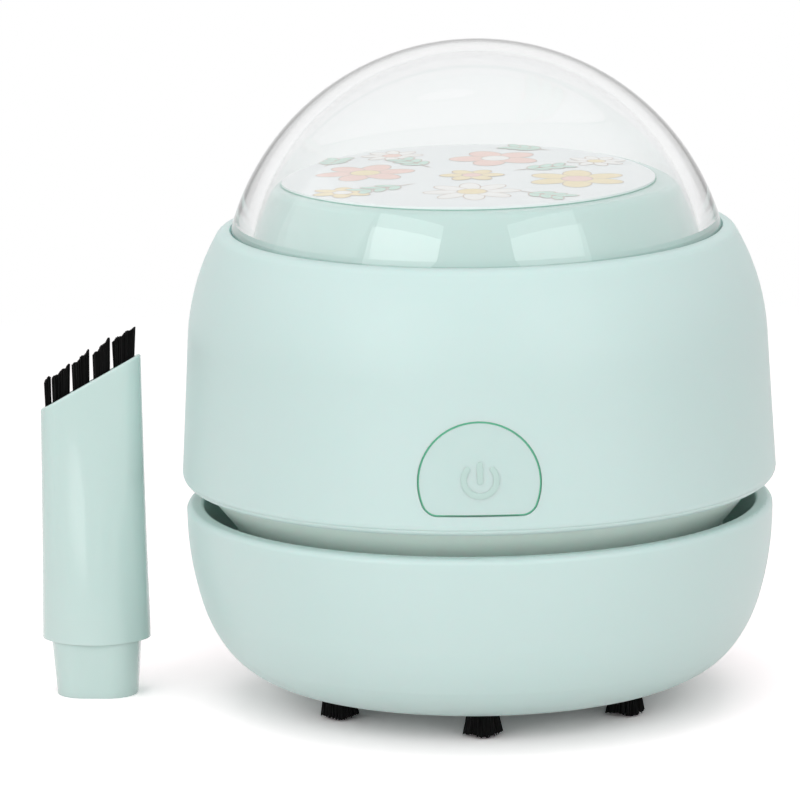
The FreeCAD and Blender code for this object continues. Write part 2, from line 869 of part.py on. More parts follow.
def upper_housing():
    shell = housing_form(0, housing_low_z)
    hollow = housing_form(housing_wall, housing_low_z - overrun)
    hollow = hollow.common(cylinder(skirt_r, housing_low_z - overrun, seat_z))
    pocket_r = flange_r + flange_fit
    pocket = cylinder(pocket_r, plinth_flange_low_z - plinth_flange_t, seat_z)
    shell = shell.cut(hollow).cut(pocket)
    shell = shell.cut(cylinder(skirt_r - rebate_wall, housing_low_z - overrun, neck_top_z))
    shell = shell.cut(cylinder(dome_seat_r + dome_lip_gap, seat_z - overrun, lip_z + overrun))
    skirt_low_r = shoulder_start(0)[0] + skirt_h * math.tan(math.radians(skirt_taper_deg))
    shell = rounded(shell, skirt_edge_round, [(skirt_low_r, housing_low_z)])
    shell = shell.cut(button_prism(button_gap))
    inside = housing_form(housing_wall / 2, housing_low_z)
    ledge_top = port_z - port_h / 2 - charge_board_t
    inner_wall_y = shoulder_start(housing_wall)[0]
    for side in (-1, 1):
        x = side * ledge_spacing / 2
        ledge = block(
            x - ledge_w / 2, x + ledge_w / 2,
            inner_wall_y - charge_board_d, skirt_r, ledge_top - ledge_t, ledge_top,
        )
        shell = shell.fuse(ledge.common(inside))
    hole = port_prism(port_hole_gap, inner_wall_y - overrun, skirt_r + overrun)
    return shell.cut(hole).removeSplitter()


def plinth_form(inset, low):
    """The plinth's hat, moved inwards by inset, from height low up."""
    turn = math.radians(plinth_side_deg)
    base_r = plinth_base_r - inset
    top = plinth_top_z - inset
    knee = lip_z - plinth_straight_below - inset * math.tan(turn / 2)
    top_r = base_r - (top - knee) * math.tan(turn)
    return turned([(0, low), (base_r, low), (base_r, knee), (top_r, top), (0, top)])


def display_plinth():
    hat = plinth_form(0, plinth_flange_low_z)
    hat = rounded(hat, plinth_edge_round, [(plinth_top_r, plinth_top_z)])
    hat = hat.fuse(cylinder(flange_r, plinth_flange_low_z, dome_flange_low_z))
    hat = hat.cut(plinth_form(plinth_wall, plinth_flange_low_z - overrun))
    for x, y in pillar_places():
        pillar = cylinder(pillar_r, deck_top_z, plinth_top_z - plinth_wall / 2, x, y)
        pilot = cylinder(
            screw_shank_r + screw_pilot_fit, deck_top_z - overrun, deck_top_z + pilot_depth, x, y
        )
        hat = hat.fuse(pillar).cut(pilot)
    return hat.removeSplitter()


def dome_form(radius, skirt, low):
    """Part of a ball on a short straight skirt, from height low up."""
    join_z = lip_z + dome_rise
    centre_z = join_z - math.sqrt(dome_sphere_r ** 2 - dome_seat_r ** 2)
    start_z = centre_z + math.sqrt(radius ** 2 - skirt ** 2)
    half = math.acos(skirt / radius) / 2 + math.pi / 4
    middle = (radius * math.cos(half), centre_z + radius * math.sin(half))
    return turned([(0, low), (skirt, low), (skirt, start_z), (middle, (0, centre_z + radius))])


def clear_dome():
    dome = dome_form(dome_sphere_r, dome_seat_r, dome_flange_low_z)
    dome = dome.fuse(cylinder(flange_r, dome_flange_low_z, seat_z))
    hollow = dome_form(
        dome_sphere_r - dome_wall, dome_seat_r - dome_wall, dome_flange_low_z - overrun
    )
    return dome.cut(hollow).removeSplitter()


def display_card():
    return cylinder(card_r, plinth_top_z, plinth_top_z + card_t, card_offset_x)


# ---- button, switch, board ----

def button_prism(grow):
    """D shape, flat side down, pushed through the housing's front wall."""
    front_y = -(skirt_r + overrun)
    back_y = -(skirt_r - board_setback + switch_depth)
    big_r = button_r + grow
    corner_r = button_corner_r + grow
    flat_z = button_z - button_drop - grow
    reach = button_r - button_corner_r
    down = button_drop - button_corner_r
    across = math.sqrt(reach ** 2 - down ** 2)
    lean = math.atan2(-down, across)

    def point(x, z):
        return FreeCAD.Vector(x, front_y, z)

    def on_corner(side, angle):
        return point(
            side * (across + corner_r * math.cos(angle)),
            button_z - down + corner_r * math.sin(angle),
        )

    right = on_corner(1, lean)
    left = on_corner(-1, lean)
    middle_angle = (lean - math.pi / 2) / 2
    outline = Part.Wire([
        Part.LineSegment(point(-across, flat_z), point(across, flat_z)).toShape(),
        Part.Arc(point(across, flat_z), on_corner(1, middle_angle), right).toShape(),
        Part.Arc(right, point(0, button_z + big_r), left).toShape(),
        Part.Arc(left, on_corner(-1, middle_angle), point(-across, flat_z)).toShape(),
    ])
    return Part.Face(outline).extrude(FreeCAD.Vector(0, back_y - front_y, 0))


def power_button():
    """Cap flush with the housing, a flange behind the wall that keeps it in, and a stem."""
    flange_near = housing_wall + button_flange_gap
    flange_far = flange_near + button_flange_t
    low = housing_low_z - overrun
    core = housing_form(flange_far, low)
    cap = button_prism(0).common(housing_form(0, low)).cut(core)
    flange = button_prism(button_flange_w).common(housing_form(flange_near, low)).cut(core)
    above_neck = block(
        -skirt_r, skirt_r, -skirt_r, 0, neck_top_z + button_flange_clear, lip_z
    )
    button = cap.fuse(flange.common(above_neck))
    stem_front = -(skirt_r - flange_far)
    stem = cylinder_y(
        button_stem_r, stem_front, board_face_y - switch_depth - switch_plunger_proud,
        0, button_z + switch_rise,
    )
    return button.fuse(stem).removeSplitter()


def tact_switch():
    z = button_z + switch_rise
    half = switch_size / 2
    front = board_face_y - switch_depth
    body = block(-half, half, front, board_face_y, z - half, z + half)
    well_end = front + switch_plunger_in + switch_free
    return body.cut(cylinder_y(switch_plunger_r + switch_fit, front - overrun, well_end, 0, z))


def switch_plunger():
    front = board_face_y - switch_depth
    return cylinder_y(
        switch_plunger_r, front - switch_plunger_proud, front + switch_plunger_in,
        0, button_z + switch_rise,
    )


def control_board():
    return block(
        -board_w / 2, board_w / 2, board_face_y, board_back_y, deck_top_z, deck_top_z + board_h
    )


# ---- battery ----

def battery_axis_z():
    return deck_top_z + cradle_floor_t + cradle_fit + battery_r


def battery_cell():
    z = battery_axis_z()
    half = battery_length / 2
    cell = cylinder_x(battery_r, -half, half, battery_y, z)
    rims = []
    for edge in cell.Edges:
        if isinstance(edge.Curve, Part.Circle):
            rims.append(edge)
    cell = cell.makeFillet(battery_round, rims)
    nub = cylinder_x(battery_nub_r, half - overrun, half + battery_nub_h, battery_y, z)
    return cell.fuse(nub).removeSplitter()


def battery_cradle():
    """Floor plate on the deck with two saddles under the cell."""
    z = battery_axis_z()
    front = battery_y - cradle_w / 2
    back = battery_y + cradle_w / 2
    cradle = block(
        -cradle_length / 2, cradle_length / 2, front, back, deck_top_z, deck_top_z + cradle_floor_t
    )
    for side in (-1, 1):
        x = side * (cradle_length / 2 - saddle_inset)
        saddle = block(x - saddle_t / 2, x + saddle_t / 2, front, back, deck_top_z, z)
        cradle = cradle.fuse(saddle)
    cradle = cradle.cut(
        cylinder_x(battery_r + cradle_fit, -cradle_length, cradle_length, battery_y, z)
    )
    return cradle.removeSplitter()


# ---- charging port ----

def port_outline(grow, y):
    """Closed stadium of the port's shell, standing in the XZ plane."""
    round_r = port_h / 2 + grow
    flat = port_w / 2 - port_h / 2

    def point(x, z):
        return FreeCAD.Vector(x, y, port_z + z)

    return Part.Wire([
        Part.LineSegment(point(-flat, -round_r), point(flat, -round_r)).toShape(),
        Part.Arc(point(flat, -round_r), point(flat + round_r, 0), point(flat, round_r)).toShape(),
        Part.LineSegment(point(flat, round_r), point(-flat, round_r)).toShape(),
        Part.Arc(point(-flat, round_r), point(-flat - round_r, 0), point(-flat, -round_r)).toShape(),
    ])


def port_prism(grow, front, back):
    return Part.Face(port_outline(grow, front)).extrude(FreeCAD.Vector(0, back - front, 0))


def port_mouth_y():
    taper = math.tan(math.radians(skirt_taper_deg))
    outer_r = shoulder_start(0)[0] + (shoulder_z - port_z) * taper
    return outer_r - port_recess


def charge_board_front_y():
    return port_mouth_y() - charge_board_overhang - charge_board_d


def charging_port():
    mouth = port_mouth_y()
    back = mouth - port_depth
    shell = port_prism(0, back, mouth)
    shell = shell.cut(port_prism(-port_shell_t, back + port_shell_t, mouth + overrun))
    tongue = block(
        -port_tongue_w / 2, port_tongue_w / 2, back, mouth - port_tongue_inset,
        port_z - port_tongue_t / 2, port_z + port_tongue_t / 2,
    )
    return shell.fuse(tongue).removeSplitter()


def charge_board():
    front = charge_board_front_y()
    top = port_z - port_h / 2
    return block(
        -charge_board_w / 2, charge_board_w / 2, front, front + charge_board_d,
        top - charge_board_t, top,
    )


# ---- leads ----

def lead(points):
    """Round lead along straight runs joined by tangent arcs."""
    edges = []
    here = points[0]
    for before, corner, after in zip(points, points[1:], points[2:]):
        inward = (before - corner).normalize()
        onward = (after - corner).normalize()
        half = inward.getAngle(onward) / 2
        back_off = lead_bend_r / math.tan(half)
        first = corner + inward * back_off
        last = corner + onward * back_off
        bisector = (inward + onward).normalize()
        middle = corner + bisector * (lead_bend_r / math.sin(half) - lead_bend_r)
        edges.append(Part.LineSegment(here, first).toShape())
        edges.append(Part.Arc(first, middle, last).toShape())
        here = last
    edges.append(Part.LineSegment(here, points[-1]).toShape())
    start = points[0]
    along = points[1] - points[0]
    section = Part.Wire(Part.makeCircle(lead_r, start, along))
    return Part.Wire(edges).makePipeShell([section], True, True)


def motor_leads():
    """From the control board's back, over the motor's edge, to its two terminals."""
    high = motor_top_z + terminal_h + lead_bend_r + lead_r
    low = deck_top_z + board_h / 2
    leads = []
    for side in (-1, 1):
        x = side * (terminal_spacing / 2 + terminal_t / 2 + lead_r)
        leads.append(lead([
            FreeCAD.Vector(x, board_back_y, low),
            FreeCAD.Vector(x, board_back_y + lead_run, low),
            FreeCAD.Vector(x, board_back_y + lead_run, high),
            FreeCAD.Vector(x, 0, high),
            FreeCAD.Vector(x, 0, motor_top_z),
        ]))
    return Part.makeCompound(leads)


def battery_leads():
    """From the cell's two ends, up, in over the cell and back onto the charge board."""
    z = battery_axis_z()
    high = port_z - port_h / 2 + lead_r
    leads = []
    for side in (-1, 1):
        end = battery_length / 2
        if side > 0:
            end += battery_nub_h
        x = side * (end + lead_r)
        inner = side * (charge_board_w / 2 - lead_on_board)
        leads.append(lead([
            FreeCAD.Vector(x, battery_y, z),
            FreeCAD.Vector(x, battery_y, high),
            FreeCAD.Vector(inner, battery_y, high),
            FreeCAD.Vector(inner, charge_board_front_y() + lead_on_board, high),
        ]))
    return Part.makeCompound(leads)


# ---- brush nozzle ----

nozzle_sections = (
    (nozzle_base_w, nozzle_base_d, nozzle_base_end_r, spigot_length),
    (nozzle_band_w, nozzle_band_d, nozzle_band_end_r, spigot_length + nozzle_band_h),
    (nozzle_shoulder_w, nozzle_shoulder_d, nozzle_shoulder_end_r, nozzle_shoulder_z),
    (nozzle_waist_w, nozzle_waist_d, nozzle_waist_end_r, nozzle_waist_z),
    (nozzle_lip_w, nozzle_lip_d, nozzle_lip_end_r, nozzle_lip_z),
)


def place_nozzle(shape):
    """Moves a shape from the nozzle's own axis to where the nozzle stands."""
    shape.rotate(FreeCAD.Vector(0, 0, 0), FreeCAD.Vector(0, 0, 1), nozzle_turn_deg)
    shape.translate(FreeCAD.Vector(nozzle_x, nozzle_y, 0))
    return shape


def nozzle_form(inset):
    """The nozzle's flattening taper, moved inwards by inset on every side."""
    wires = []
    for width, depth, end_r, z in nozzle_sections:
        wires.append(oval(width - 2 * inset, depth - 2 * inset, end_r - inset, z))
    band = Part.makeLoft(wires[:2], True, True)
    return band.fuse(Part.makeLoft(wires[1:], True, False))


def mouth_frame(shape):
    """Turns a shape made about the origin, +Z outwards, onto the slanted mouth."""
    shape.rotate(FreeCAD.Vector(0, 0, 0), FreeCAD.Vector(1, 0, 0), -nozzle_mouth_tilt_deg)
    shape.rotate(FreeCAD.Vector(0, 0, 0), FreeCAD.Vector(0, 1, 0), -nozzle_slant_deg)
    shape.translate(FreeCAD.Vector(0, 0, nozzle_mouth_z))
    return shape


def tuft_bar_front():
    """Inner face of the front lip at the mouth's height."""
    share = (nozzle_mouth_z - nozzle_waist_z) / (nozzle_lip_z - nozzle_waist_z)
    depth = nozzle_waist_d + share * (nozzle_lip_d - nozzle_waist_d)
    return -depth / 2 + nozzle_wall


def mouth_rim(body):
    """Outer edges of the slanted mouth."""
    big = nozzle_lip_z
    slab = mouth_frame(block(-big, big, -big, big, -same_place, same_place))
    middle = nozzle_form(nozzle_wall / 2)
    edges = []
    for edge in body.Edges:
        point = edge.valueAt((edge.FirstParameter + edge.LastParameter) / 2)
        on_mouth = slab.isInside(point, same_place, True)
        if on_mouth and not middle.isInside(point, same_place, True):
            edges.append(edge)
    return edges


def nozzle_body():
    big = nozzle_lip_z
    above = mouth_frame(block(-big, big, -big, big, 0, big))
    body = nozzle_form(0).cut(nozzle_form(nozzle_wall))
    front = tuft_bar_front()
    bar = mouth_frame(block(
        -big, big, front - nozzle_wall / 2, front + tuft_bar_d,
        -tuft_bar_recess - tuft_bar_h, -tuft_bar_recess,
    ))
    body = body.fuse(bar.common(nozzle_form(nozzle_wall / 2)))
    body = body.cut(above).removeSplitter()
    body = body.makeFillet(nozzle_lip_round, mouth_rim(body))
    for x, width in brush_places():
        body = body.cut(brush(x, width, brush_socket=True))
    return place_nozzle(body.removeSplitter())


def brush_places():
    places = []
    for i in range(brush_count):
        places.append((brush_first_x - i * brush_pitch, brush_w))
    places.append((brush_end_x, brush_end_w))
    return places


def brush(x, width, brush_socket=False):
    """One flat tuft along the nozzle's axis, cut off parallel to the slanted mouth."""
    middle_y = tuft_bar_front() + tuft_bar_d / 2
    slope = math.tan(math.radians(nozzle_slant_deg))
    root_z = nozzle_mouth_z + x * slope - tuft_bar_recess - brush_root
    if brush_socket:
        room = nozzle_plate_fit
        return block(
            x - width / 2 - room, x + width / 2 + room,
            middle_y - brush_d / 2 - room, middle_y + brush_d / 2 + room,
            root_z - room, nozzle_lip_z + brush_reach,
        )
    tip_z = nozzle_mouth_z + x * slope + brush_reach + width
    foot = Part.makePlane(width, brush_d, FreeCAD.Vector(x - width / 2, middle_y - brush_d / 2, root_z))
    wide = width * (1 + 2 * brush_spread)
    tip = Part.makePlane(wide, brush_d, FreeCAD.Vector(x - wide / 2, middle_y - brush_d / 2, tip_z))
    tuft = Part.makeLoft([foot.OuterWire, tip.OuterWire], True, True)
    big = nozzle_lip_z
    return tuft.cut(mouth_frame(block(-big, big, -big, big, brush_reach, big)))


def nozzle_tufts():
    tufts = [brush(x, width) for x, width in brush_places()]
    return place_nozzle(Part.makeCompound(tufts))


def band_section(inset, z):
    """Cross-section of the nozzle's foot band at height z, moved inwards by inset."""
    share = (z - spigot_length) / nozzle_band_h
    sizes = []
    for low, high in zip(nozzle_sections[0][:3], nozzle_sections[1][:3]):
        sizes.append(low + (high - low) * share)
    return oval(sizes[0] - 2 * inset, sizes[1] - 2 * inset, sizes[2] - inset, z)


def nozzle_spigot():
    """Tapered tube up to the body's foot, with an oval plate on it that closes the foot from within."""
    plate_low = spigot_length - nozzle_plate_fit
    plate_high = plate_low + nozzle_plate_t
    tube = Part.makeLoft([
        rounded_rectangle(spigot_foot_w, spigot_foot_d, spigot_corner_r, 0),
        rounded_rectangle(spigot_top_w, spigot_top_d, spigot_corner_r, plate_low),
    ], True, True)
    inset = nozzle_wall + nozzle_plate_fit
    plate = Part.makeLoft([band_section(inset, plate_low), band_section(inset, plate_high)], True, True)
    bore = rounded_plate(
        spigot_foot_w - 2 * spigot_wall, spigot_foot_d - 2 * spigot_wall,
        spigot_corner_r - spigot_wall, -overrun, plate_high + overrun,
    )
    return place_nozzle(tube.fuse(plate).cut(bore).removeSplitter())


nodes = (
    dust_bowl, bowl_collar, inlet_duct, base_tufts,
    fan_housing, seal_ring, fan_eye_plate, filter_frame, filter_mesh,
    impeller, motor_shaft, motor_can, motor_screws, case_screws,
    upper_housing, display_plinth, clear_dome, display_card,
    power_button, switch_plunger, tact_switch, control_board,
    battery_cell, battery_cradle, charging_port, charge_board,
    motor_leads, battery_leads,
    nozzle_body, nozzle_spigot, nozzle_tufts,
)

os.makedirs("parts", exist_ok=True)
for node in nodes:
    node().exportStep("parts/" + node.__name__ + ".step")
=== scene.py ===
import math
import random

import bmesh
import bpy
from mathutils import Matrix, Vector


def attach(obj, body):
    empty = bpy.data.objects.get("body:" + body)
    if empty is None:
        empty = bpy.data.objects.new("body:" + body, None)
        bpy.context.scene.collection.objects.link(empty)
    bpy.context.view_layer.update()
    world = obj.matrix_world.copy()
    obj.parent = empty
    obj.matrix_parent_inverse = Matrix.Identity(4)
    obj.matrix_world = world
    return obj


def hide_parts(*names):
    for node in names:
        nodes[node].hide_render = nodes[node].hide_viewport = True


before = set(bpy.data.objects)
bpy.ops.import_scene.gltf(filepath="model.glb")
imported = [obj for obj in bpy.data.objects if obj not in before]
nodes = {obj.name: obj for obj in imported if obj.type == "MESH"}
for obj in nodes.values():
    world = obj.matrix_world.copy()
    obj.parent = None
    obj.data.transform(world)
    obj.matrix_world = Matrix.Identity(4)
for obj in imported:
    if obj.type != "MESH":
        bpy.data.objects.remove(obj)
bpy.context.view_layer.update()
scene = bpy.context.scene
scene.view_settings.view_transform = "Standard"
mm = 0.001
print("frame loaded with", len(nodes), "nodes")


# camera: a long lens from a metre away, a little above the dome's foot
view = {
    "distance": 1000 * mm,
    "elevation": math.radians(11.32),
    "centre": Vector((0, 0, 40 * mm)),
    "aim": Vector((-11.38 * mm, 0.84 * mm, 44.18 * mm)),
    "roll": math.radians(-0.88),
    "lens": 309.7,
}


def placeCamera():
    data = bpy.data.cameras.new("camera")
    data.sensor_width = 36
    data.lens = view["lens"]
    data.clip_start = 0.05
    data.clip_end = 20
    camera = bpy.data.objects.new("camera", data)
    scene.collection.objects.link(camera)
    rise = view["elevation"]
    away = Vector((0, -math.cos(rise), math.sin(rise)))
    camera.location = view["centre"] + away * view["distance"]
    turn = (view["aim"] - camera.location).to_track_quat("-Z", "Y")
    camera.rotation_mode = "QUATERNION"
    camera.rotation_quaternion = turn @ Matrix.Rotation(view["roll"], 4, "Z").to_quaternion()
    scene.camera = camera


placeCamera()
print("camera placed")


# helpers for colour and nodes

def toLinear(hexColour):
    channels = []
    for i in (0, 2, 4):
        c = int(hexColour[i:i + 2], 16) / 255
        channels.append(c / 12.92 if c <= 0.04045 else ((c + 0.055) / 1.055) ** 2.4)
    return (*channels, 1.0)


def addNode(tree, kind, inputs=None, **settings):
    node = tree.nodes.new(kind)
    for name, value in settings.items():
        setattr(node, name, value)
    for key, value in (inputs or {}).items():
        if isinstance(value, bpy.types.NodeSocket):
            tree.links.new(value, node.inputs[key])
        else:
            node.inputs[key].default_value = value
    return node


def perMetre(sizeMm):
    return 1 / (sizeMm * mm)  # pattern scale that repeats about every sizeMm


def startMaterial(name, **sockets):
    material = bpy.data.materials.new(name)
    material.use_nodes = True
    tree = material.node_tree
    tree.nodes.clear()
    shader = addNode(tree, "ShaderNodeBsdfPrincipled")
    for key, value in sockets.items():
        shader.inputs[key.replace("_", " ")].default_value = value
    output = addNode(tree, "ShaderNodeOutputMaterial")
    tree.links.new(shader.outputs[0], output.inputs["Surface"])
    coords = addNode(tree, "ShaderNodeTexCoord").outputs["Object"]
    return material, tree, shader, coords


def mixTones(tree, shader, share, nearTone, farTone):
    tones = addNode(
        tree, "ShaderNodeMix",
        {0: share, 6: toLinear(nearTone), 7: toLinear(farTone)},
        data_type="RGBA",
    )
    tree.links.new(tones.outputs[2], shader.inputs["Base Color"])


def addBump(tree, shader, height, strength, depthMm, under=None):
    inputs = {"Height": height, "Strength": strength, "Distance": depthMm * mm}
    if under:
        inputs["Normal"] = under
    bump = addNode(tree, "ShaderNodeBump", inputs)
    tree.links.new(bump.outputs["Normal"], shader.inputs["Normal"])
    return bump.outputs["Normal"]


# moulded plastics

mouldedAbs = {
    "shellTone": "D1E5E3",
    "shellToneFar": "CCE3E0",
    "glossTone": "CCE2DE",
    "plinthTone": "C4DDD8",
    "buttonTone": "CBE1DE",
    "signTone": "BCD6D0",
    "innerTone": "E6F6EF",
    "innerToneFar": "DFF3EA",
    # painted shade: the green of the shaded gap round the button
    "gapShadeTone": "6FC8A3",
    "gapShadeToneFar": "67C09B",
    # painted shadow: the thin shaded line under the card's front edge
    "cardShadeTone": "8DC0B1",
    "cardShadeToneFar": "84B8A8",
    "toneCloudMm": 22,
    "sparkGrainMm": 0.45,   # real spark erosion is 0.1 mm; this coarse so that it still shows
    "flowWaveMm": 9,
    "glowMm": 1.0,          # how far light spreads inside the wall
    "mouldLineHigh": 33.9 * mm,   # the tool's parting line, just above the housing's lower edge
    "mouldLineHalf": 0.22 * mm,   # a real one is 0.05 mm wide; this coarse so that it still shows
}


def absMaterial(name, tone, farTone, roughness, grain, wave, glow=0.6, line=False):
    material, tree, shader, coords = startMaterial(
        name,
        Roughness=roughness,
        IOR=1.53,
        Subsurface_Weight=glow,
        Subsurface_Radius=(0.8, 1.2, 1.1),
        Subsurface_Scale=mouldedAbs["glowMm"] * mm,
    )
    cloud = addNode(
        tree, "ShaderNodeTexNoise",
        {"Vector": coords, "Scale": perMetre(mouldedAbs["toneCloudMm"]), "Detail": 3.0},
    )
    mixTones(tree, shader, cloud.outputs["Fac"], tone, farTone)
    fine = addNode(
        tree, "ShaderNodeTexNoise",
        {"Vector": coords, "Scale": perMetre(mouldedAbs["sparkGrainMm"]), "Detail": 2.0},
    )
    flow = addNode(
        tree, "ShaderNodeTexNoise",
        {"Vector": coords, "Scale": perMetre(mouldedAbs["flowWaveMm"]), "Detail": 1.0},
    )
    under = addBump(tree, shader, fine.outputs["Fac"], grain, 0.02)
    under = addBump(tree, shader, flow.outputs["Fac"], wave, 0.05, under)
    if line:
        height = addNode(tree, "ShaderNodeSeparateXYZ", {0: coords}).outputs["Z"]
        above = addNode(
            tree, "ShaderNodeMath", {0: height, 1: mouldedAbs["mouldLineHigh"]}, operation="SUBTRACT"
        ).outputs[0]
        size = addNode(tree, "ShaderNodeMath", {0: above}, operation="ABSOLUTE").outputs[0]
        groove = addNode(tree, "ShaderNodeMapRange", {
            "Value": size, "From Min": 0.0, "From Max": mouldedAbs["mouldLineHalf"],
        }, interpolation_type="SMOOTHSTEP")
        addBump(tree, shader, groove.outputs[0], 0.7, 0.12, under)
    return material


form = mouldedAbs
mintShell = absMaterial(
    "mintSatinAbs", form["shellTone"], form["shellToneFar"], roughness=0.42, grain=0.35, wave=0.1
)
mintHousing = absMaterial(
    "mintHousingAbs", form["shellTone"], form["shellToneFar"],
    roughness=0.42, grain=0.35, wave=0.1, line=True,
)
mintGloss = absMaterial(
    "mintPolishedAbs", form["plinthTone"], form["plinthTone"], roughness=0.22, grain=0.0, wave=0.25
)
mintButton = absMaterial(
    "mintButtonAbs", form["buttonTone"], form["buttonTone"], roughness=0.38, grain=0.35, wave=0.1
)
mintNozzle = absMaterial(
    "mintNozzleAbs", form["glossTone"], form["glossTone"],
    roughness=0.11, grain=0.0, wave=0.1, glow=0.3,
)
mintSign = absMaterial(
    "mintSignAbs", form["signTone"], form["signTone"],
    roughness=0.38, grain=0.35, wave=0.1, glow=0.0,
)
paleInner = absMaterial(
    "paleInnerAbs", form["innerTone"], form["innerToneFar"], roughness=0.5, grain=0.3, wave=0.1
)
gapShadeMint = absMaterial(
    "paintedGapShadeAbs", form["gapShadeTone"], form["gapShadeToneFar"],
    roughness=0.5, grain=0.0, wave=0.0, glow=0.0,
)
cardShadeMint = absMaterial(
    "paintedCardShadow", form["cardShadeTone"], form["cardShadeToneFar"],
    roughness=0.6, grain=0.2, wave=0.0, glow=0.0,
)
print("plastics ready")


def coatAll(names, material):
    for name in names:
        nodes[name].data.materials.clear()
        nodes[name].data.materials.append(material)


coatAll(["dust_bowl"], mintShell)
coatAll(["upper_housing"], mintHousing)
coatAll(["display_plinth"], mintGloss)
coatAll(["nozzle_body", "nozzle_spigot"], mintNozzle)
coatAll(["power_button"], mintButton)
coatAll(
    [
        "fan_housing", "bowl_collar", "inlet_duct", "fan_eye_plate", "filter_frame", "battery_cradle",
        "impeller",
    ],
    paleInner,
)


# parts inside

insideParts = {
    "ringTone": "C9D2D4",
    "ringToneFar": "BFC9CB",
    "clothTone": "F1F1EC",
    "clothShadeTone": "CFCFC8",
    "clothThreadMm": 0.6,
    "zincTone": "C6CACE",
    "zincToneFar": "B4B9BF",
    "canTone": "A7ABB0",
    "canStreakTone": "8C9095",
    "canStreakMm": 0.35,
    "switchTone": "161718",
    "laminateTone": "2A7A50",
    "trackTone": "1B5C3A",
    "trackPitchMm": 1.27,
    "sleeveTone": "3A78B8",
    "capTone": "C9C8C2",
    "sleeveHalf": 20.6 * mm,   # past this the cell's steel ends are bare
    "portMiddle": 54.015 * mm,
    "tongueHalfWide": 3.35 * mm,
    "tongueHalfHigh": 0.42 * mm,
    "leadRed": "B3211F",
    "leadBlack": "1B1B1D",
}


def grainedMaterial(name, tone, farTone, grainMm, depthMm, **sockets):
    material, tree, shader, coords = startMaterial(name, **sockets)
    grain = addNode(
        tree, "ShaderNodeTexNoise", {"Vector": coords, "Scale": perMetre(grainMm), "Detail": 3.0}
    )
    mixTones(tree, shader, grain.outputs["Fac"], tone, farTone)
    addBump(tree, shader, grain.outputs["Fac"], 0.4, depthMm)
    return material, tree, shader, coords


def within(tree, value, limit):
    size = addNode(tree, "ShaderNodeMath", {0: value}, operation="ABSOLUTE").outputs[0]
    return addNode(tree, "ShaderNodeMath", {0: size, 1: limit}, operation="LESS_THAN").outputs[0]


def siliconeRubber():  # dull and a little see-through, so its edges look soft
    return grainedMaterial(
        "siliconeRubber", insideParts["ringTone"], insideParts["ringToneFar"], 1.5, 0.02,
        Roughness=0.55, IOR=1.41, Subsurface_Weight=0.5, Subsurface_Scale=1.5 * mm,
    )[0]


def wovenFilterCloth():  # plain weave: threads cross over and under, so it looks finely checked
    material, tree, shader, coords = startMaterial("wovenFilterCloth", Roughness=0.9, IOR=1.5)
    scale = perMetre(insideParts["clothThreadMm"]) * math.pi / 10
    threads = []
    for axis in ("X", "Y"):
        threads.append(addNode(
            tree, "ShaderNodeTexWave", {"Vector": coords, "Scale": scale, "Distortion": 0.3},
            bands_direction=axis,
        ).outputs["Fac"])
    weave = addNode(
        tree, "ShaderNodeMath", {0: threads[0], 1: threads[1]}, operation="MULTIPLY"
    ).outputs[0]
    mixTones(tree, shader, weave, insideParts["clothShadeTone"], insideParts["clothTone"])
    addBump(tree, shader, weave, 0.6, 0.1)
    return material


def zincSteel():  # bright plate with a cool, faintly cloudy look
    return grainedMaterial(
        "zincPlatedSteel", insideParts["zincTone"], insideParts["zincToneFar"], 0.8, 0.01,
        Metallic=1.0, Roughness=0.3,
    )[0]


def drawnSteelCan():  # drawn through a die, so fine streaks run along it
    material, tree, shader, coords = startMaterial("drawnSteelCan", Metallic=1.0, Roughness=0.36)
    along = addNode(tree, "ShaderNodeMapping", {"Vector": coords, "Scale": (1, 1, 0.03)}).outputs[0]
    streak = addNode(
        tree, "ShaderNodeTexNoise", {"Vector": along, "Scale": perMetre(insideParts["canStreakMm"])}
    )
    mixTones(tree, shader, streak.outputs["Fac"], insideParts["canTone"], insideParts["canStreakTone"])
    addBump(tree, shader, streak.outputs["Fac"], 0.3, 0.02)
    return material


def blackSwitchAbs():  # matt moulded black, soft highlights
    return grainedMaterial(
        "blackSwitchAbs", insideParts["switchTone"], "202123", 0.4, 0.02, Roughness=0.48, IOR=1.53
    )[0]


def boardLaminate():  # green lacquer over copper tracks, which show as darker ridges
    material, tree, shader, coords = startMaterial("glassEpoxyLaminate", Roughness=0.35, IOR=1.55)
    tracks = addNode(
        tree, "ShaderNodeTexBrick",
        {
            "Vector": coords, "Scale": perMetre(insideParts["trackPitchMm"]), "Mortar Size": 0.12,
            "Brick Width": 2.5, "Row Height": 1.0,
            "Color1": toLinear(insideParts["laminateTone"]), "Color2": toLinear("2F8257"),
            "Mortar": toLinear(insideParts["trackTone"]),
        },
    )
    tree.links.new(tracks.outputs["Color"], shader.inputs["Base Color"])
    addBump(tree, shader, tracks.outputs["Fac"], 0.5, 0.05)
    return material


def cellSleeve():  # shrunk PVC film, glossy, with the steel can bare at both ends
    material, tree, shader, coords = grainedMaterial(
        "shrunkCellSleeve", insideParts["sleeveTone"], "346FAD", 3.0, 0.02, Roughness=0.28, IOR=1.54
    )
    across = addNode(tree, "ShaderNodeSeparateXYZ", {0: coords}).outputs["X"]
    covered = within(tree, across, insideParts["sleeveHalf"])
    film = shader.inputs["Base Color"].links[0].from_socket
    ends = addNode(
        tree, "ShaderNodeMix", {0: covered, 6: toLinear(insideParts["capTone"]), 7: film}, data_type="RGBA"
    )
    tree.links.new(ends.outputs[2], shader.inputs["Base Color"])
    bare = addNode(tree, "ShaderNodeMath", {0: 1.0, 1: covered}, operation="SUBTRACT")
    tree.links.new(bare.outputs[0], shader.inputs["Metallic"])
    return material


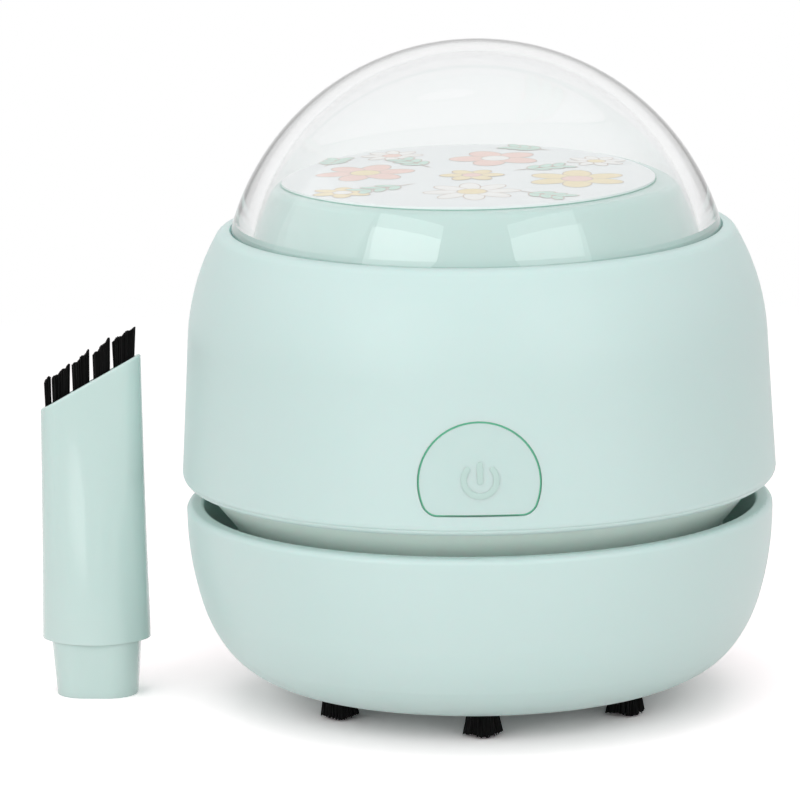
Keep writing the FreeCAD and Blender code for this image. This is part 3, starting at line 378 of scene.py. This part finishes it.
def nickelPort():  # folded nickel shell round a black tongue
    material, tree, shader, coords = grainedMaterial(
        "nickelPortShell", "B9B6AE", "A9A69E", 0.7, 0.01, Roughness=0.26
    )
    place = addNode(tree, "ShaderNodeSeparateXYZ", {0: coords})
    height = addNode(
        tree, "ShaderNodeMath", {0: place.outputs["Z"], 1: insideParts["portMiddle"]}, operation="SUBTRACT"
    ).outputs[0]
    tongue = addNode(tree, "ShaderNodeMath", {
        0: within(tree, place.outputs["X"], insideParts["tongueHalfWide"]),
        1: within(tree, height, insideParts["tongueHalfHigh"]),
    }, operation="MULTIPLY").outputs[0]
    nickel = shader.inputs["Base Color"].links[0].from_socket
    both = addNode(tree, "ShaderNodeMix", {0: tongue, 6: nickel, 7: toLinear("17181A")}, data_type="RGBA")
    tree.links.new(both.outputs[2], shader.inputs["Base Color"])
    metal = addNode(tree, "ShaderNodeMath", {0: 1.0, 1: tongue}, operation="SUBTRACT")
    tree.links.new(metal.outputs[0], shader.inputs["Metallic"])
    return material


def leadSleeve():  # soft PVC, red on the right-hand lead and black on the left
    material, tree, shader, coords = grainedMaterial(
        "pvcLeadSleeve", insideParts["leadBlack"], "242427", 0.8, 0.02, Roughness=0.42, IOR=1.53
    )
    across = addNode(tree, "ShaderNodeSeparateXYZ", {0: coords}).outputs["X"]
    right = addNode(tree, "ShaderNodeMath", {0: across, 1: 0.0}, operation="GREATER_THAN").outputs[0]
    black = shader.inputs["Base Color"].links[0].from_socket
    pair = addNode(
        tree, "ShaderNodeMix", {0: right, 6: black, 7: toLinear(insideParts["leadRed"])}, data_type="RGBA"
    )
    tree.links.new(pair.outputs[2], shader.inputs["Base Color"])
    return material


coatAll(["seal_ring"], siliconeRubber())
coatAll(["filter_mesh"], wovenFilterCloth())
coatAll(["motor_shaft", "motor_screws", "case_screws"], zincSteel())
coatAll(["motor_can"], drawnSteelCan())
coatAll(["switch_plunger", "tact_switch"], blackSwitchAbs())
coatAll(["control_board", "charge_board"], boardLaminate())
coatAll(["battery_cell"], cellSleeve())
coatAll(["charging_port"], nickelPort())
coatAll(["motor_leads", "battery_leads"], leadSleeve())
print("nodes coated")


# pieces

def finishPiece(bm, name, materials, body, smoothDegrees=None):
    mesh = bpy.data.meshes.new(name)
    bm.to_mesh(mesh)
    bm.free()
    piece = bpy.data.objects.new(name, mesh)
    scene.collection.objects.link(piece)
    for material in materials:
        mesh.materials.append(material)
    if smoothDegrees:
        mesh.shade_smooth()
        mesh.set_sharp_from_angle(angle=math.radians(smoothDegrees))
    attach(piece, body)
    return piece


def lineTo(bm, vert, x, z):
    grown = bmesh.ops.extrude_vert_indiv(bm, verts=[vert])
    end = grown["verts"][0]
    end.co = Vector((x, vert.co.y, z))
    return end


def arcTo(bm, vert, centre, degrees, steps):
    swung = bmesh.ops.spin(
        bm, geom=[vert], cent=centre, axis=(0, 1, 0),
        angle=math.radians(degrees), steps=steps, use_duplicate=False,
    )
    return [part for part in swung["geom_last"] if isinstance(part, bmesh.types.BMVert)][0]


# clear dome

domeForm = {
    "ballCentre": 60.012 * mm,
    "ballRadius": 36.8 * mm,
    "sideRadius": 35.4 * mm,
    "wall": 2.8 * mm,
    "topWall": 2.0 * mm,    # the wall thins towards the top
    "flangeRadius": 36.7 * mm,
    "flangeLow": 66.216 * mm,
    "flangeTop": 67.516 * mm,
    "turns": 216,
    "arcSteps": 72,
    "faceTone": "FCFDFD",
    "rimShadeTone": "EAEBEC",    # painted shade: the wall greys where the eye looks along it
    # painted shade: dark grey at the wall's foot, where the dome stands in the groove
    "footShadeTone": "5C5D5E",
    "footShadeTop": 80 * mm,     # the painted shade at the foot fades out by this height
    "footShadeFoot": 69 * mm,
    "edgeBlend": 0.35,
    "edgeFrom": 0.3,
    "edgeTo": 0.85,
}


def clearPolystyrene():
    material, tree, shader, coords = startMaterial(
        "clearPolystyrene", Roughness=0.01, IOR=1.57, Transmission_Weight=1.0
    )
    # painted shade: the glass is tinted grey where the eye looks along the wall, and darker grey near its
    # foot
    height = addNode(tree, "ShaderNodeSeparateXYZ", {0: coords}).outputs["Z"]
    low = addNode(tree, "ShaderNodeMapRange", {
        "Value": height, "From Min": domeForm["footShadeTop"], "From Max": domeForm["footShadeFoot"],
    })
    rim = addNode(
        tree, "ShaderNodeMix",
        {0: low.outputs[0], 6: toLinear(domeForm["rimShadeTone"]), 7: toLinear(domeForm["footShadeTone"])},
        data_type="RGBA",
    )
    blend = domeForm["edgeBlend"]
    facing = addNode(tree, "ShaderNodeLayerWeight", {"Blend": blend}).outputs["Facing"]
    along = addNode(tree, "ShaderNodeMapRange", {
        "Value": facing, "From Min": domeForm["edgeFrom"], "From Max": domeForm["edgeTo"],
    })
    edgeShade = addNode(
        tree, "ShaderNodeMix",
        {0: along.outputs[0], 6: toLinear(domeForm["faceTone"]), 7: rim.outputs[2]},
        data_type="RGBA",
    )
    tree.links.new(edgeShade.outputs[2], shader.inputs["Base Color"])
    return material


def makeDome():
    form = domeForm
    centre = Vector((0, 0, form["ballCentre"]))
    inSide = form["sideRadius"] - form["wall"]
    inTop = form["ballCentre"] + form["ballRadius"] - form["topWall"]
    inFoot = form["flangeTop"]
    inMiddle = (inTop ** 2 - inFoot ** 2 - inSide ** 2) / (2 * (inTop - inFoot))
    outArc = math.degrees(math.asin(form["sideRadius"] / form["ballRadius"]))
    inArc = math.degrees(math.asin(inSide / (inTop - inMiddle)))
    bm = bmesh.new()
    pole = bm.verts.new(centre + Vector((0, 0, form["ballRadius"])))
    vert = arcTo(bm, pole, centre, outArc, form["arcSteps"])
    for r, z in (
        (form["sideRadius"], form["flangeTop"]),
        (form["flangeRadius"], form["flangeTop"]),
        (form["flangeRadius"], form["flangeLow"]),
        (inSide, form["flangeLow"]),
        (inSide, inFoot),
    ):
        vert = lineTo(bm, vert, r, z)
    vert = arcTo(bm, vert, Vector((0, 0, inMiddle)), -inArc, form["arcSteps"])
    vert.co.x = 0
    bmesh.ops.spin(
        bm, geom=bm.verts[:] + bm.edges[:], cent=(0, 0, 0), axis=(0, 0, 1),
        angle=math.radians(360), steps=form["turns"], use_merge=True,
    )
    bmesh.ops.remove_doubles(bm, verts=bm.verts[:], dist=0.001 * mm)
    bmesh.ops.recalc_face_normals(bm, faces=bm.faces[:])
    dome = finishPiece(bm, "domeShell", [clearPolystyrene()], "motor_unit", 30)
    dome.visible_shadow = False
    dome.visible_diffuse = False
    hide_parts("clear_dome")


makeDome()
print("dome blown")


# bristles, each a bent tapering filament

bristleForm = {
    "sides": 4,
    "rootWidth": 0.3 * mm,
    "tipWidth": 0.22 * mm,
    "lot": 20,
    "tone": "020202",
    "toneFar": "080808",
}

nylon, tree, shader, coords = startMaterial(
    "blackNylon", Roughness=0.7, IOR=1.53, Specular_IOR_Level=0.15
)
soot = addNode(tree, "ShaderNodeTexNoise", {"Vector": coords, "Scale": perMetre(0.5), "Detail": 1.0})
mixTones(tree, shader, soot.outputs["Fac"], bristleForm["tone"], bristleForm["toneFar"])
coatAll(["base_tufts", "nozzle_tufts"], nylon)


def edgesAmong(verts):
    return list({
        edge for vert in verts for edge in vert.link_edges if all(v in verts for v in edge.verts)
    })


def growBristle(bm, root, middle, tip):
    lean = (tip - root).to_track_quat("Z", "Y").to_matrix().to_4x4()
    rootWidth, tipWidth = bristleForm["rootWidth"], bristleForm["tipWidth"]
    start = bmesh.ops.create_circle(
        bm, segments=bristleForm["sides"], radius=rootWidth / 2,
        matrix=Matrix.Translation(root) @ lean,
    )
    verts = start["verts"]
    here = root
    shares = (  # half of the taper by the middle, the rest by the tip
        (rootWidth + tipWidth) / 2 / rootWidth,
        2 * tipWidth / (rootWidth + tipWidth),
    )
    for there, share in zip((middle, tip), shares):
        grown = bmesh.ops.extrude_edge_only(bm, edges=edgesAmong(verts))
        verts = [part for part in grown["geom"] if isinstance(part, bmesh.types.BMVert)]
        bmesh.ops.translate(bm, verts=verts, vec=there - here)
        bmesh.ops.scale(bm, verts=verts, vec=(share, share, share), space=Matrix.Translation(-there))
        here = there
    bmesh.ops.contextual_create(bm, geom=edgesAmong(verts))


def growAll(paths):
    whole = bmesh.new()
    # small lots, because the operators slow down as a mesh grows
    for first in range(0, len(paths), bristleForm["lot"]):
        bm = bmesh.new()
        for path in paths[first:first + bristleForm["lot"]]:
            growBristle(bm, *path)
        lot = bpy.data.meshes.new("bristleLot")
        bm.to_mesh(lot)
        bm.free()
        whole.from_mesh(lot)
        bpy.data.meshes.remove(lot)
    bmesh.ops.recalc_face_normals(whole, faces=whole.faces[:])
    return whole


bowlTufts = {
    "count": 6,
    "circle": 24.0 * mm,
    "rootRadius": 2.15 * mm,
    "tipRadius": 2.75 * mm,
    "top": 4.4 * mm,
    "bristles": 240,
    "tipLow": 0.12 * mm,
    "tipRagged": 0.45,
    "seed": 4,
}


def makeBowlTufts():
    chance = random.Random(bowlTufts["seed"])
    paths = []
    for i in range(bowlTufts["count"]):
        turn = math.radians(-90 + 360 * i / bowlTufts["count"])
        axis = Vector((math.cos(turn), math.sin(turn), 0)) * bowlTufts["circle"]
        lean = Vector((chance.gauss(0, 0.12), chance.gauss(0, 0.12), 0)) * mm
        wave = chance.uniform(0, 2 * math.pi)
        for j in range(bowlTufts["bristles"]):
            out = math.sqrt((j + 0.5) / bowlTufts["bristles"])
            way = Vector((math.cos(j * 2.4), math.sin(j * 2.4), 0))
            stray = lean + Vector((chance.gauss(0, 0.1), chance.gauss(0, 0.1), 0)) * mm
            root = axis + way * out * bowlTufts["rootRadius"] + Vector((0, 0, bowlTufts["top"]))
            tip = axis + way * out * bowlTufts["tipRadius"] + stray
            rag = 0.5 + 0.5 * math.sin(j * 2.4 * 3 + wave)  # whole locks end short of their neighbours
            rise = rag * out * bowlTufts["tipRagged"] + abs(chance.gauss(0, 0.15))
            tip.z = bowlTufts["tipLow"] + rise * mm
            middle = root.lerp(tip, 0.55) - (way * out * 0.08 + stray * 60) * mm
            paths.append((root, middle, tip))
    tufts = finishPiece(growAll(paths), "bowlBristles", [nylon], "base")
    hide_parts("base_tufts")


makeBowlTufts()

nozzlePlace = Matrix.Translation((-56.55 * mm, 6.0 * mm, 0)) @ Matrix.Rotation(math.radians(-4), 4, "Z")

# each tuft: root middle and width, tip middle and width, then how far its left and right ends stand up
nozzleTufts = {
    "tufts": [
        (4.85, 1.85, 5.05, 3.2, 4.1, 4.4),
        (1.7, 1.85, 1.75, 2.4, 3.7, 4.9),
        (-1.35, 1.85, -1.35, 2.45, 3.9, 4.8),
        (-4.4, 1.75, -4.25, 2.5, 3.7, 4.3),
        (-6.1, 0.35, -6.3, 0.85, 3.9, 4.2),
    ],
    "middleY": -0.66,
    "depth": 1.0,
    "mouthZ": 46.65,
    "slantDeg": 29.5,
    "rootDepth": 2.4,
    "perMm": 56,
    "seed": 9,
}


def makeNozzleTufts():
    form = nozzleTufts
    chance = random.Random(form["seed"])
    slope = math.tan(math.radians(form["slantDeg"]))
    paths = []
    for rootMiddle, rootWidth, tipMiddle, tipWidth, leftRise, rightRise in form["tufts"]:
        count = round(form["perMm"] * (rootWidth + 0.3))
        wave = chance.uniform(0, 6)
        for j in range(count):
            across = (j + chance.uniform(0.0, 1.0)) / count - 0.5
            deep = chance.uniform(-0.5, 0.5) * form["depth"]
            rootX = rootMiddle + across * rootWidth
            tipX = tipMiddle + across * tipWidth + chance.gauss(0, 0.05)
            rise = leftRise + (rightRise - leftRise) * (across + 0.5)
            rag = 0.14 * math.sin(across * 14 + wave) + abs(chance.gauss(0, 0.14))
            rootZ = form["mouthZ"] + rootX * slope - form["rootDepth"]
            root = Vector((rootX, form["middleY"] + deep, rootZ))
            tip = Vector((
                tipX, form["middleY"] + deep + chance.gauss(0, 0.06),
                form["mouthZ"] + tipX * slope + rise - rag,
            ))
            middle = root.lerp(tip, 0.42)
            middle.x = root.x + (tip.x - root.x) * 0.72  # a tuft spreads as soon as it leaves its hole
            paths.append([nozzlePlace @ (point * mm) for point in (root, middle, tip)])
    tufts = finishPiece(growAll(paths), "nozzleBristles", [nylon], "nozzle")
    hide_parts("nozzle_tufts")


makeNozzleTufts()
print("bristles set")


# power sign, a shallow relief on the button

signForm = {
    "arcSteps": 56,
    "capSteps": 8,
    "centreX": 0.1 * mm,
    "centreZ": 41.16 * mm,
    "radius": 2.29 * mm,
    "stroke": 0.8 * mm,
    "gapDeg": 50,
    "barLow": 40.53 * mm,
    "barHigh": 43.71 * mm,
    "proud": 0.1 * mm,
    "sunk": 0.2 * mm,
    "edge": 0.04 * mm,
    "skirtRadius": 43.2 * mm,
    "skirtLow": 33.015 * mm,
    "taper": math.tan(math.radians(3.3)),
}


def wrapOnSkirt(bm):
    for vert in bm.verts:
        radius = signForm["skirtRadius"] - (vert.co.z - signForm["skirtLow"]) * signForm["taper"]
        vert.co.y += -math.sqrt(radius ** 2 - vert.co.x ** 2)


def strokeSolid(bm):
    bmesh.ops.remove_doubles(bm, verts=bm.verts[:], dist=0.001 * mm)
    bmesh.ops.contextual_create(bm, geom=bm.edges[:])
    front = bm.faces[:]
    grown = bmesh.ops.extrude_face_region(bm, geom=front)
    verts = [part for part in grown["geom"] if isinstance(part, bmesh.types.BMVert)]
    bmesh.ops.translate(bm, verts=verts, vec=(0, signForm["proud"] + signForm["sunk"], 0))
    bmesh.ops.recalc_face_normals(bm, faces=bm.faces[:])
    rim = [edge for edge in bm.edges if all(v not in verts for v in edge.verts)]
    bmesh.ops.bevel(
        bm, geom=rim, offset=signForm["edge"], segments=2, profile=0.5, affect="EDGES", material=-1,
    )
    bmesh.ops.triangulate(bm, faces=bm.faces[:])
    bmesh.ops.translate(bm, verts=bm.verts[:], vec=(signForm["centreX"], 0, 0))
    wrapOnSkirt(bm)


def makeSign():
    form = signForm
    half = form["stroke"] / 2
    start = math.radians(90 - form["gapDeg"])
    centre = Vector((0, 0, form["centreZ"]))
    bm = bmesh.new()
    first = bm.verts.new((
        (form["radius"] + half) * math.cos(start), -form["proud"],
        form["centreZ"] + (form["radius"] + half) * math.sin(start),
    ))
    sweep = 360 - 2 * form["gapDeg"]
    vert = arcTo(bm, first, centre, sweep, form["arcSteps"])
    end = math.radians(90 + form["gapDeg"])
    capCentre = centre + Vector((math.cos(end), 0, math.sin(end))) * form["radius"]
    vert = arcTo(bm, vert, capCentre, 180, form["capSteps"])
    vert = arcTo(bm, vert, centre, -sweep, form["arcSteps"])
    capCentre = centre + Vector((math.cos(start), 0, math.sin(start))) * form["radius"]
    arcTo(bm, vert, capCentre, 180, form["capSteps"])
    strokeSolid(bm)
    finishPiece(bm, "powerSignRing", [mintSign], "button", 40)
    bm = bmesh.new()
    low = Vector((0, 0, form["barLow"] + half))
    high = Vector((0, 0, form["barHigh"] - half))
    first = bm.verts.new((-half, -form["proud"], high.z))
    vert = arcTo(bm, first, high, 180, form["capSteps"])
    vert = lineTo(bm, vert, half, low.z)
    vert = arcTo(bm, vert, low, 180, form["capSteps"])
    lineTo(bm, vert, -half, high.z)
    strokeSolid(bm)
    finishPiece(bm, "powerSignBar", [mintSign], "button", 40)


makeSign()


# painted shade: a green strip round the button, down in the gap, that paints the gap's shaded green and
# keeps it from looking black

gapShadeForm = {
    "centreZ": 40.715 * mm,
    "radius": 8.66 * mm,    # stops short of the housing's hole
    "drop": 4.69 * mm,
    "cornerRadius": 2.3 * mm,
    "depth": 0.3 * mm,
    "thickness": 0.5 * mm,
    "arcSteps": 60,
    "cornerSteps": 10,
}


def makeGapShadeStrip():
    form = gapShadeForm
    corner = form["cornerRadius"]
    cornerZ = -form["drop"] + corner
    cornerX = math.sqrt((form["radius"] - corner) ** 2 - cornerZ ** 2)
    swing = math.degrees(math.atan2(-cornerZ, cornerX))
    centre = Vector((0, 0, form["centreZ"]))
    bm = bmesh.new()
    first = bm.verts.new((-cornerX, form["depth"], form["centreZ"] - form["drop"]))
    vert = lineTo(bm, first, cornerX, form["centreZ"] - form["drop"])
    vert = arcTo(bm, vert, centre + Vector((cornerX, 0, cornerZ)), -(90 - swing), form["cornerSteps"])
    vert = arcTo(bm, vert, centre, -(180 + 2 * swing), form["arcSteps"])
    arcTo(bm, vert, centre + Vector((-cornerX, 0, cornerZ)), -(90 - swing), form["cornerSteps"])
    bmesh.ops.remove_doubles(bm, verts=bm.verts[:], dist=0.001 * mm)
    bmesh.ops.contextual_create(bm, geom=bm.edges[:])
    grown = bmesh.ops.extrude_face_region(bm, geom=bm.faces[:])
    verts = [part for part in grown["geom"] if isinstance(part, bmesh.types.BMVert)]
    bmesh.ops.translate(bm, verts=verts, vec=(0, form["thickness"], 0))
    bmesh.ops.recalc_face_normals(bm, faces=bm.faces[:])
    bmesh.ops.triangulate(bm, faces=bm.faces[:])
    wrapOnSkirt(bm)
    finishPiece(bm, "buttonGapShade", [gapShadeMint], "button")


makeGapShadeStrip()
print("button dressed")


# printed card: loose flowers and sprigs in pale inks

cardForm = {
    "centre": Vector((-1.0 * mm, 0, 76.616 * mm)),
    "lift": 0.012 * mm,
    "step": 0.0002 * mm,
    "outline": 0.17 * mm,
    "ovalSides": 24,
    "stemWidth": 0.35 * mm,
    "leafPairs": 3,
    "leafFirst": 0.35,      # shares of the stem's length
    "leafStep": 0.27,
    "leafTurn": 42,
    "leafReach": 1.5,
    "leafSize": (3.2, 1.5),
    "cardTone": "F4F9FA",
    "cardToneFar": "FAFCFC",
    # a darker disc under the card, just past its edge, paints its shadow line
    "shadeDiscRadius": 27.05 * mm,
    "shadeDiscThickness": 0.1 * mm,
    "shadeDiscDrop": 0.345 * mm,
    "inks": {
        "cardInkTaupe": "CBB9AD", "cardInkCoral": "FAD8CD", "cardInkYellow": "FAE9BC",
        "cardInkMint": "CCEBDE", "cardInkWhite": "FFFEFB",
    },
    # middle x and y, petal reach, number of petals, petal ink, heart ink, turn
    "flowers": [
        (-15.0, 2.5, 7.2, 6, "Coral", "Yellow", 10), (0.5, -14.5, 6.8, 8, "White", "Yellow", 4),
        (15.5, -5.0, 7.2, 6, "Yellow", "Coral", 28), (4.0, 13.5, 6.8, 5, "Coral", "White", 40),
        (-11.5, 17.5, 4.6, 8, "White", "Coral", 0), (19.0, 10.5, 4.4, 8, "White", "Yellow", 12),
        (-17.5, -14.0, 4.2, 6, "Yellow", "White", 30), (0.5, -1.0, 4.6, 6, "Yellow", "Coral", 0),
    ],
    # foot x and y, length, turn
    "sprigs": [
        (-7.5, -7.5, 9.0, 215), (7.0, -14.5, 7.5, -40), (6.5, 2.5, 8.0, 28), (-5.5, 6.0, 8.5, 120),
        (-21.5, 9.5, 6.5, 75), (12.5, 20.5, 6.5, 150),
    ],
}


def inkMaterial(name, tone):
    material, tree, shader, coords = startMaterial(name, Roughness=0.4, IOR=1.5)
    speck = addNode(
        tree, "ShaderNodeTexNoise", {"Vector": coords, "Scale": perMetre(0.3), "Detail": 1.0}
    )
    share = addNode(tree, "ShaderNodeMath", {0: speck.outputs["Fac"], 1: 0.3}, operation="MULTIPLY")
    mixTones(tree, shader, share.outputs[0], tone, "FFFFFF")
    return material


def stampOval(sheets, ink, x, y, length, width, degrees):
    stamped = sum(len(sheet.faces) for sheet in sheets.values())
    rise = cardForm["lift"] + stamped * cardForm["step"]  # each oval lies a little over the one before
    place = Matrix.Translation(cardForm["centre"] + Vector((x * mm, y * mm, rise)))
    place = place @ Matrix.Rotation(math.radians(degrees), 4, "Z")
    place = place @ Matrix.Diagonal((length / 2, width / 2, 1, 1))
    bmesh.ops.create_circle(
        sheets["cardInk" + ink], cap_ends=True, segments=cardForm["ovalSides"], radius=1.0, matrix=place
    )


def stampPair(sheets, ink, x, y, length, width, degrees):
    line = 2 * cardForm["outline"]
    stampOval(sheets, "Taupe", x, y, length * mm + line, width * mm + line, degrees)
    stampOval(sheets, ink, x, y, length * mm, width * mm, degrees)


def stampFlower(sheets, x, y, reach, petals, petalInk, heartInk, turn):
    for k in range(petals):
        way = turn + 360 / petals * k
        px = x + 0.58 * reach * math.cos(math.radians(way))
        py = y + 0.58 * reach * math.sin(math.radians(way))
        stampPair(sheets, petalInk, px, py, 0.84 * reach, 3.3 * reach / petals, way)
    stampPair(sheets, heartInk, x, y, 0.6 * reach, 0.6 * reach, 0)


def stampSprig(sheets, x, y, length, turn):
    form = cardForm
    run = Vector((math.cos(math.radians(turn)), math.sin(math.radians(turn))))
    middleX, middleY = x + run.x * length / 2, y + run.y * length / 2
    stampOval(sheets, "Taupe", middleX, middleY, length * mm, form["stemWidth"], turn)
    for k in range(form["leafPairs"]):
        out = (form["leafFirst"] + form["leafStep"] * k) * length
        for side in (-1, 1):
            way = turn + side * form["leafTurn"]
            px = x + run.x * out + form["leafReach"] * math.cos(math.radians(way))
            py = y + run.y * out + form["leafReach"] * math.sin(math.radians(way))
            stampPair(sheets, "Mint", px, py, *form["leafSize"], way)


def makeCardPrint():
    form = cardForm
    sheets = {name: bmesh.new() for name in form["inks"]}
    for flower in form["flowers"]:
        stampFlower(sheets, *flower)
    for sprig in form["sprigs"]:
        stampSprig(sheets, *sprig)
    for name, bm in sheets.items():
        bm.normal_update()
        bmesh.ops.reverse_faces(bm, faces=[face for face in bm.faces if face.normal.z < 0])
        finishPiece(bm, name, [inkMaterial(name, form["inks"][name])], "motor_unit")


makeCardPrint()


def makeCardEdgeShade():  # a darker disc under the card, just past its edge: painted shadow that shows as a thin line at its front edge
    form = cardForm
    bm = bmesh.new()
    place = Matrix.Translation(form["centre"] + Vector((0, 0, -form["shadeDiscDrop"])))
    bmesh.ops.create_cone(
        bm, cap_ends=True, segments=96, radius1=form["shadeDiscRadius"], radius2=form["shadeDiscRadius"],
        depth=form["shadeDiscThickness"], matrix=place,
    )
    finishPiece(bm, "cardEdgeShade", [cardShadeMint], "motor_unit", 30)


makeCardEdgeShade()
card, tree, shader, coords = startMaterial("coatedCard", Roughness=0.35, IOR=1.5)
pulp = addNode(tree, "ShaderNodeTexNoise", {"Vector": coords, "Scale": perMetre(6), "Detail": 4.0})
mixTones(tree, shader, pulp.outputs["Fac"], cardForm["cardTone"], cardForm["cardToneFar"])
coatAll(["display_card"], card)
print("card printed")


# floor, backdrop light and lamps

studio = {
    "floorTone": "E6E4E2",
    "floorGain": (1.62, 1.5, 1.52, 1),
    "paperReach": 0.32,     # past this distance the floor is plain white to the eye
    "worldFill": 0.455,
    "floorSize": 6.0,
    "target": 45 * mm,      # the height that the lamps point at
    # azimuth and elevation in degrees, distance, width and height in metres, then watts
    "boxes": {
        "leftBox": (-37, 17, 1.0, 0.6, 0.66, 2.0),
        "rightBox": (37, 17, 1.0, 0.62, 0.66, 1.5),
        "topBox": (0, 88, 1.0, 0.9, 0.7, 2.9),
        "leftFill": (-85, 15, 1.4, 1.2, 1.2, 1.6),
        "frontBox": (6, 24, 1.0, 0.5, 0.5, 1.6),
    },
    "unmirrored": ("topBox", "frontBox"),  # the dome shows no picture of these
}


def layFloor():
    bm = bmesh.new()
    bmesh.ops.create_grid(bm, x_segments=1, y_segments=1, size=studio["floorSize"])
    mesh = bpy.data.meshes.new("studioFloor")
    bm.to_mesh(mesh)
    bm.free()
    floor = bpy.data.objects.new("studioFloor", mesh)
    scene.collection.objects.link(floor)
    material = bpy.data.materials.new("whiteSweep")
    material.use_nodes = True
    tree = material.node_tree
    tree.nodes.clear()
    paper = addNode(tree, "ShaderNodeBsdfDiffuse", {"Color": toLinear(studio["floorTone"])})
    bright = addNode(tree, "ShaderNodeBsdfDiffuse", {"Color": studio["floorGain"]})
    white = addNode(tree, "ShaderNodeEmission", {"Color": (1, 1, 1, 1), "Strength": 1.0})
    coords = addNode(tree, "ShaderNodeTexCoord").outputs["Object"]
    away = addNode(tree, "ShaderNodeVectorMath", {0: coords}, operation="LENGTH")
    reach = studio["paperReach"]
    far = addNode(tree, "ShaderNodeMapRange", {
        "Value": away.outputs["Value"], "From Min": reach * 0.4, "From Max": reach,
    })
    seen = addNode(tree, "ShaderNodeMixShader", {
        0: far.outputs[0], 1: bright.outputs[0], 2: white.outputs[0],
    })
    mixed = addNode(tree, "ShaderNodeMixShader", {
        0: seenDirectly(tree), 1: paper.outputs[0], 2: seen.outputs[0],
    })
    addNode(tree, "ShaderNodeOutputMaterial", {"Surface": mixed.outputs[0]})
    mesh.materials.append(material)


def seenDirectly(tree):
    rays = addNode(tree, "ShaderNodeLightPath")
    total = rays.outputs["Is Camera Ray"]
    for name in ("Is Glossy Ray", "Is Transmission Ray"):
        total = addNode(
            tree, "ShaderNodeMath", {0: total, 1: rays.outputs[name]}, operation="MAXIMUM"
        ).outputs[0]
    return total


def hangWorld():
    world = bpy.data.worlds.new("studioWorld")
    world.use_nodes = True
    tree = world.node_tree
    tree.nodes.clear()
    strength = studio["worldFill"]
    fill = addNode(tree, "ShaderNodeBackground", {"Color": (1, 1, 1, 1), "Strength": strength})
    white = addNode(tree, "ShaderNodeBackground", {"Color": (1, 1, 1, 1), "Strength": 1.0})
    mixed = addNode(tree, "ShaderNodeMixShader", {
        0: seenDirectly(tree), 1: fill.outputs[0], 2: white.outputs[0],
    })
    addNode(tree, "ShaderNodeOutputWorld", {"Surface": mixed.outputs[0]})
    scene.world = world


def hangBox(name, azimuth, elevation, distance, width, height, power):
    data = bpy.data.lights.new(name, "AREA")
    data.shape = "RECTANGLE"
    data.size = width
    data.size_y = height
    data.energy = power
    box = bpy.data.objects.new(name, data)
    scene.collection.objects.link(box)
    a, e = math.radians(azimuth), math.radians(elevation)
    away = Vector((math.sin(a) * math.cos(e), -math.cos(a) * math.cos(e), math.sin(e)))
    target = Vector((0, 0, studio["target"]))
    box.location = target + away * distance
    box.rotation_mode = "QUATERNION"
    box.rotation_quaternion = (-away).to_track_quat("-Z", "Y")
    return box


layFloor()
hangWorld()
for name, placing in studio["boxes"].items():
    box = hangBox(name, *placing)
    if name in studio["unmirrored"]:
        box.visible_glossy = box.visible_transmission = False
print("studio lit")
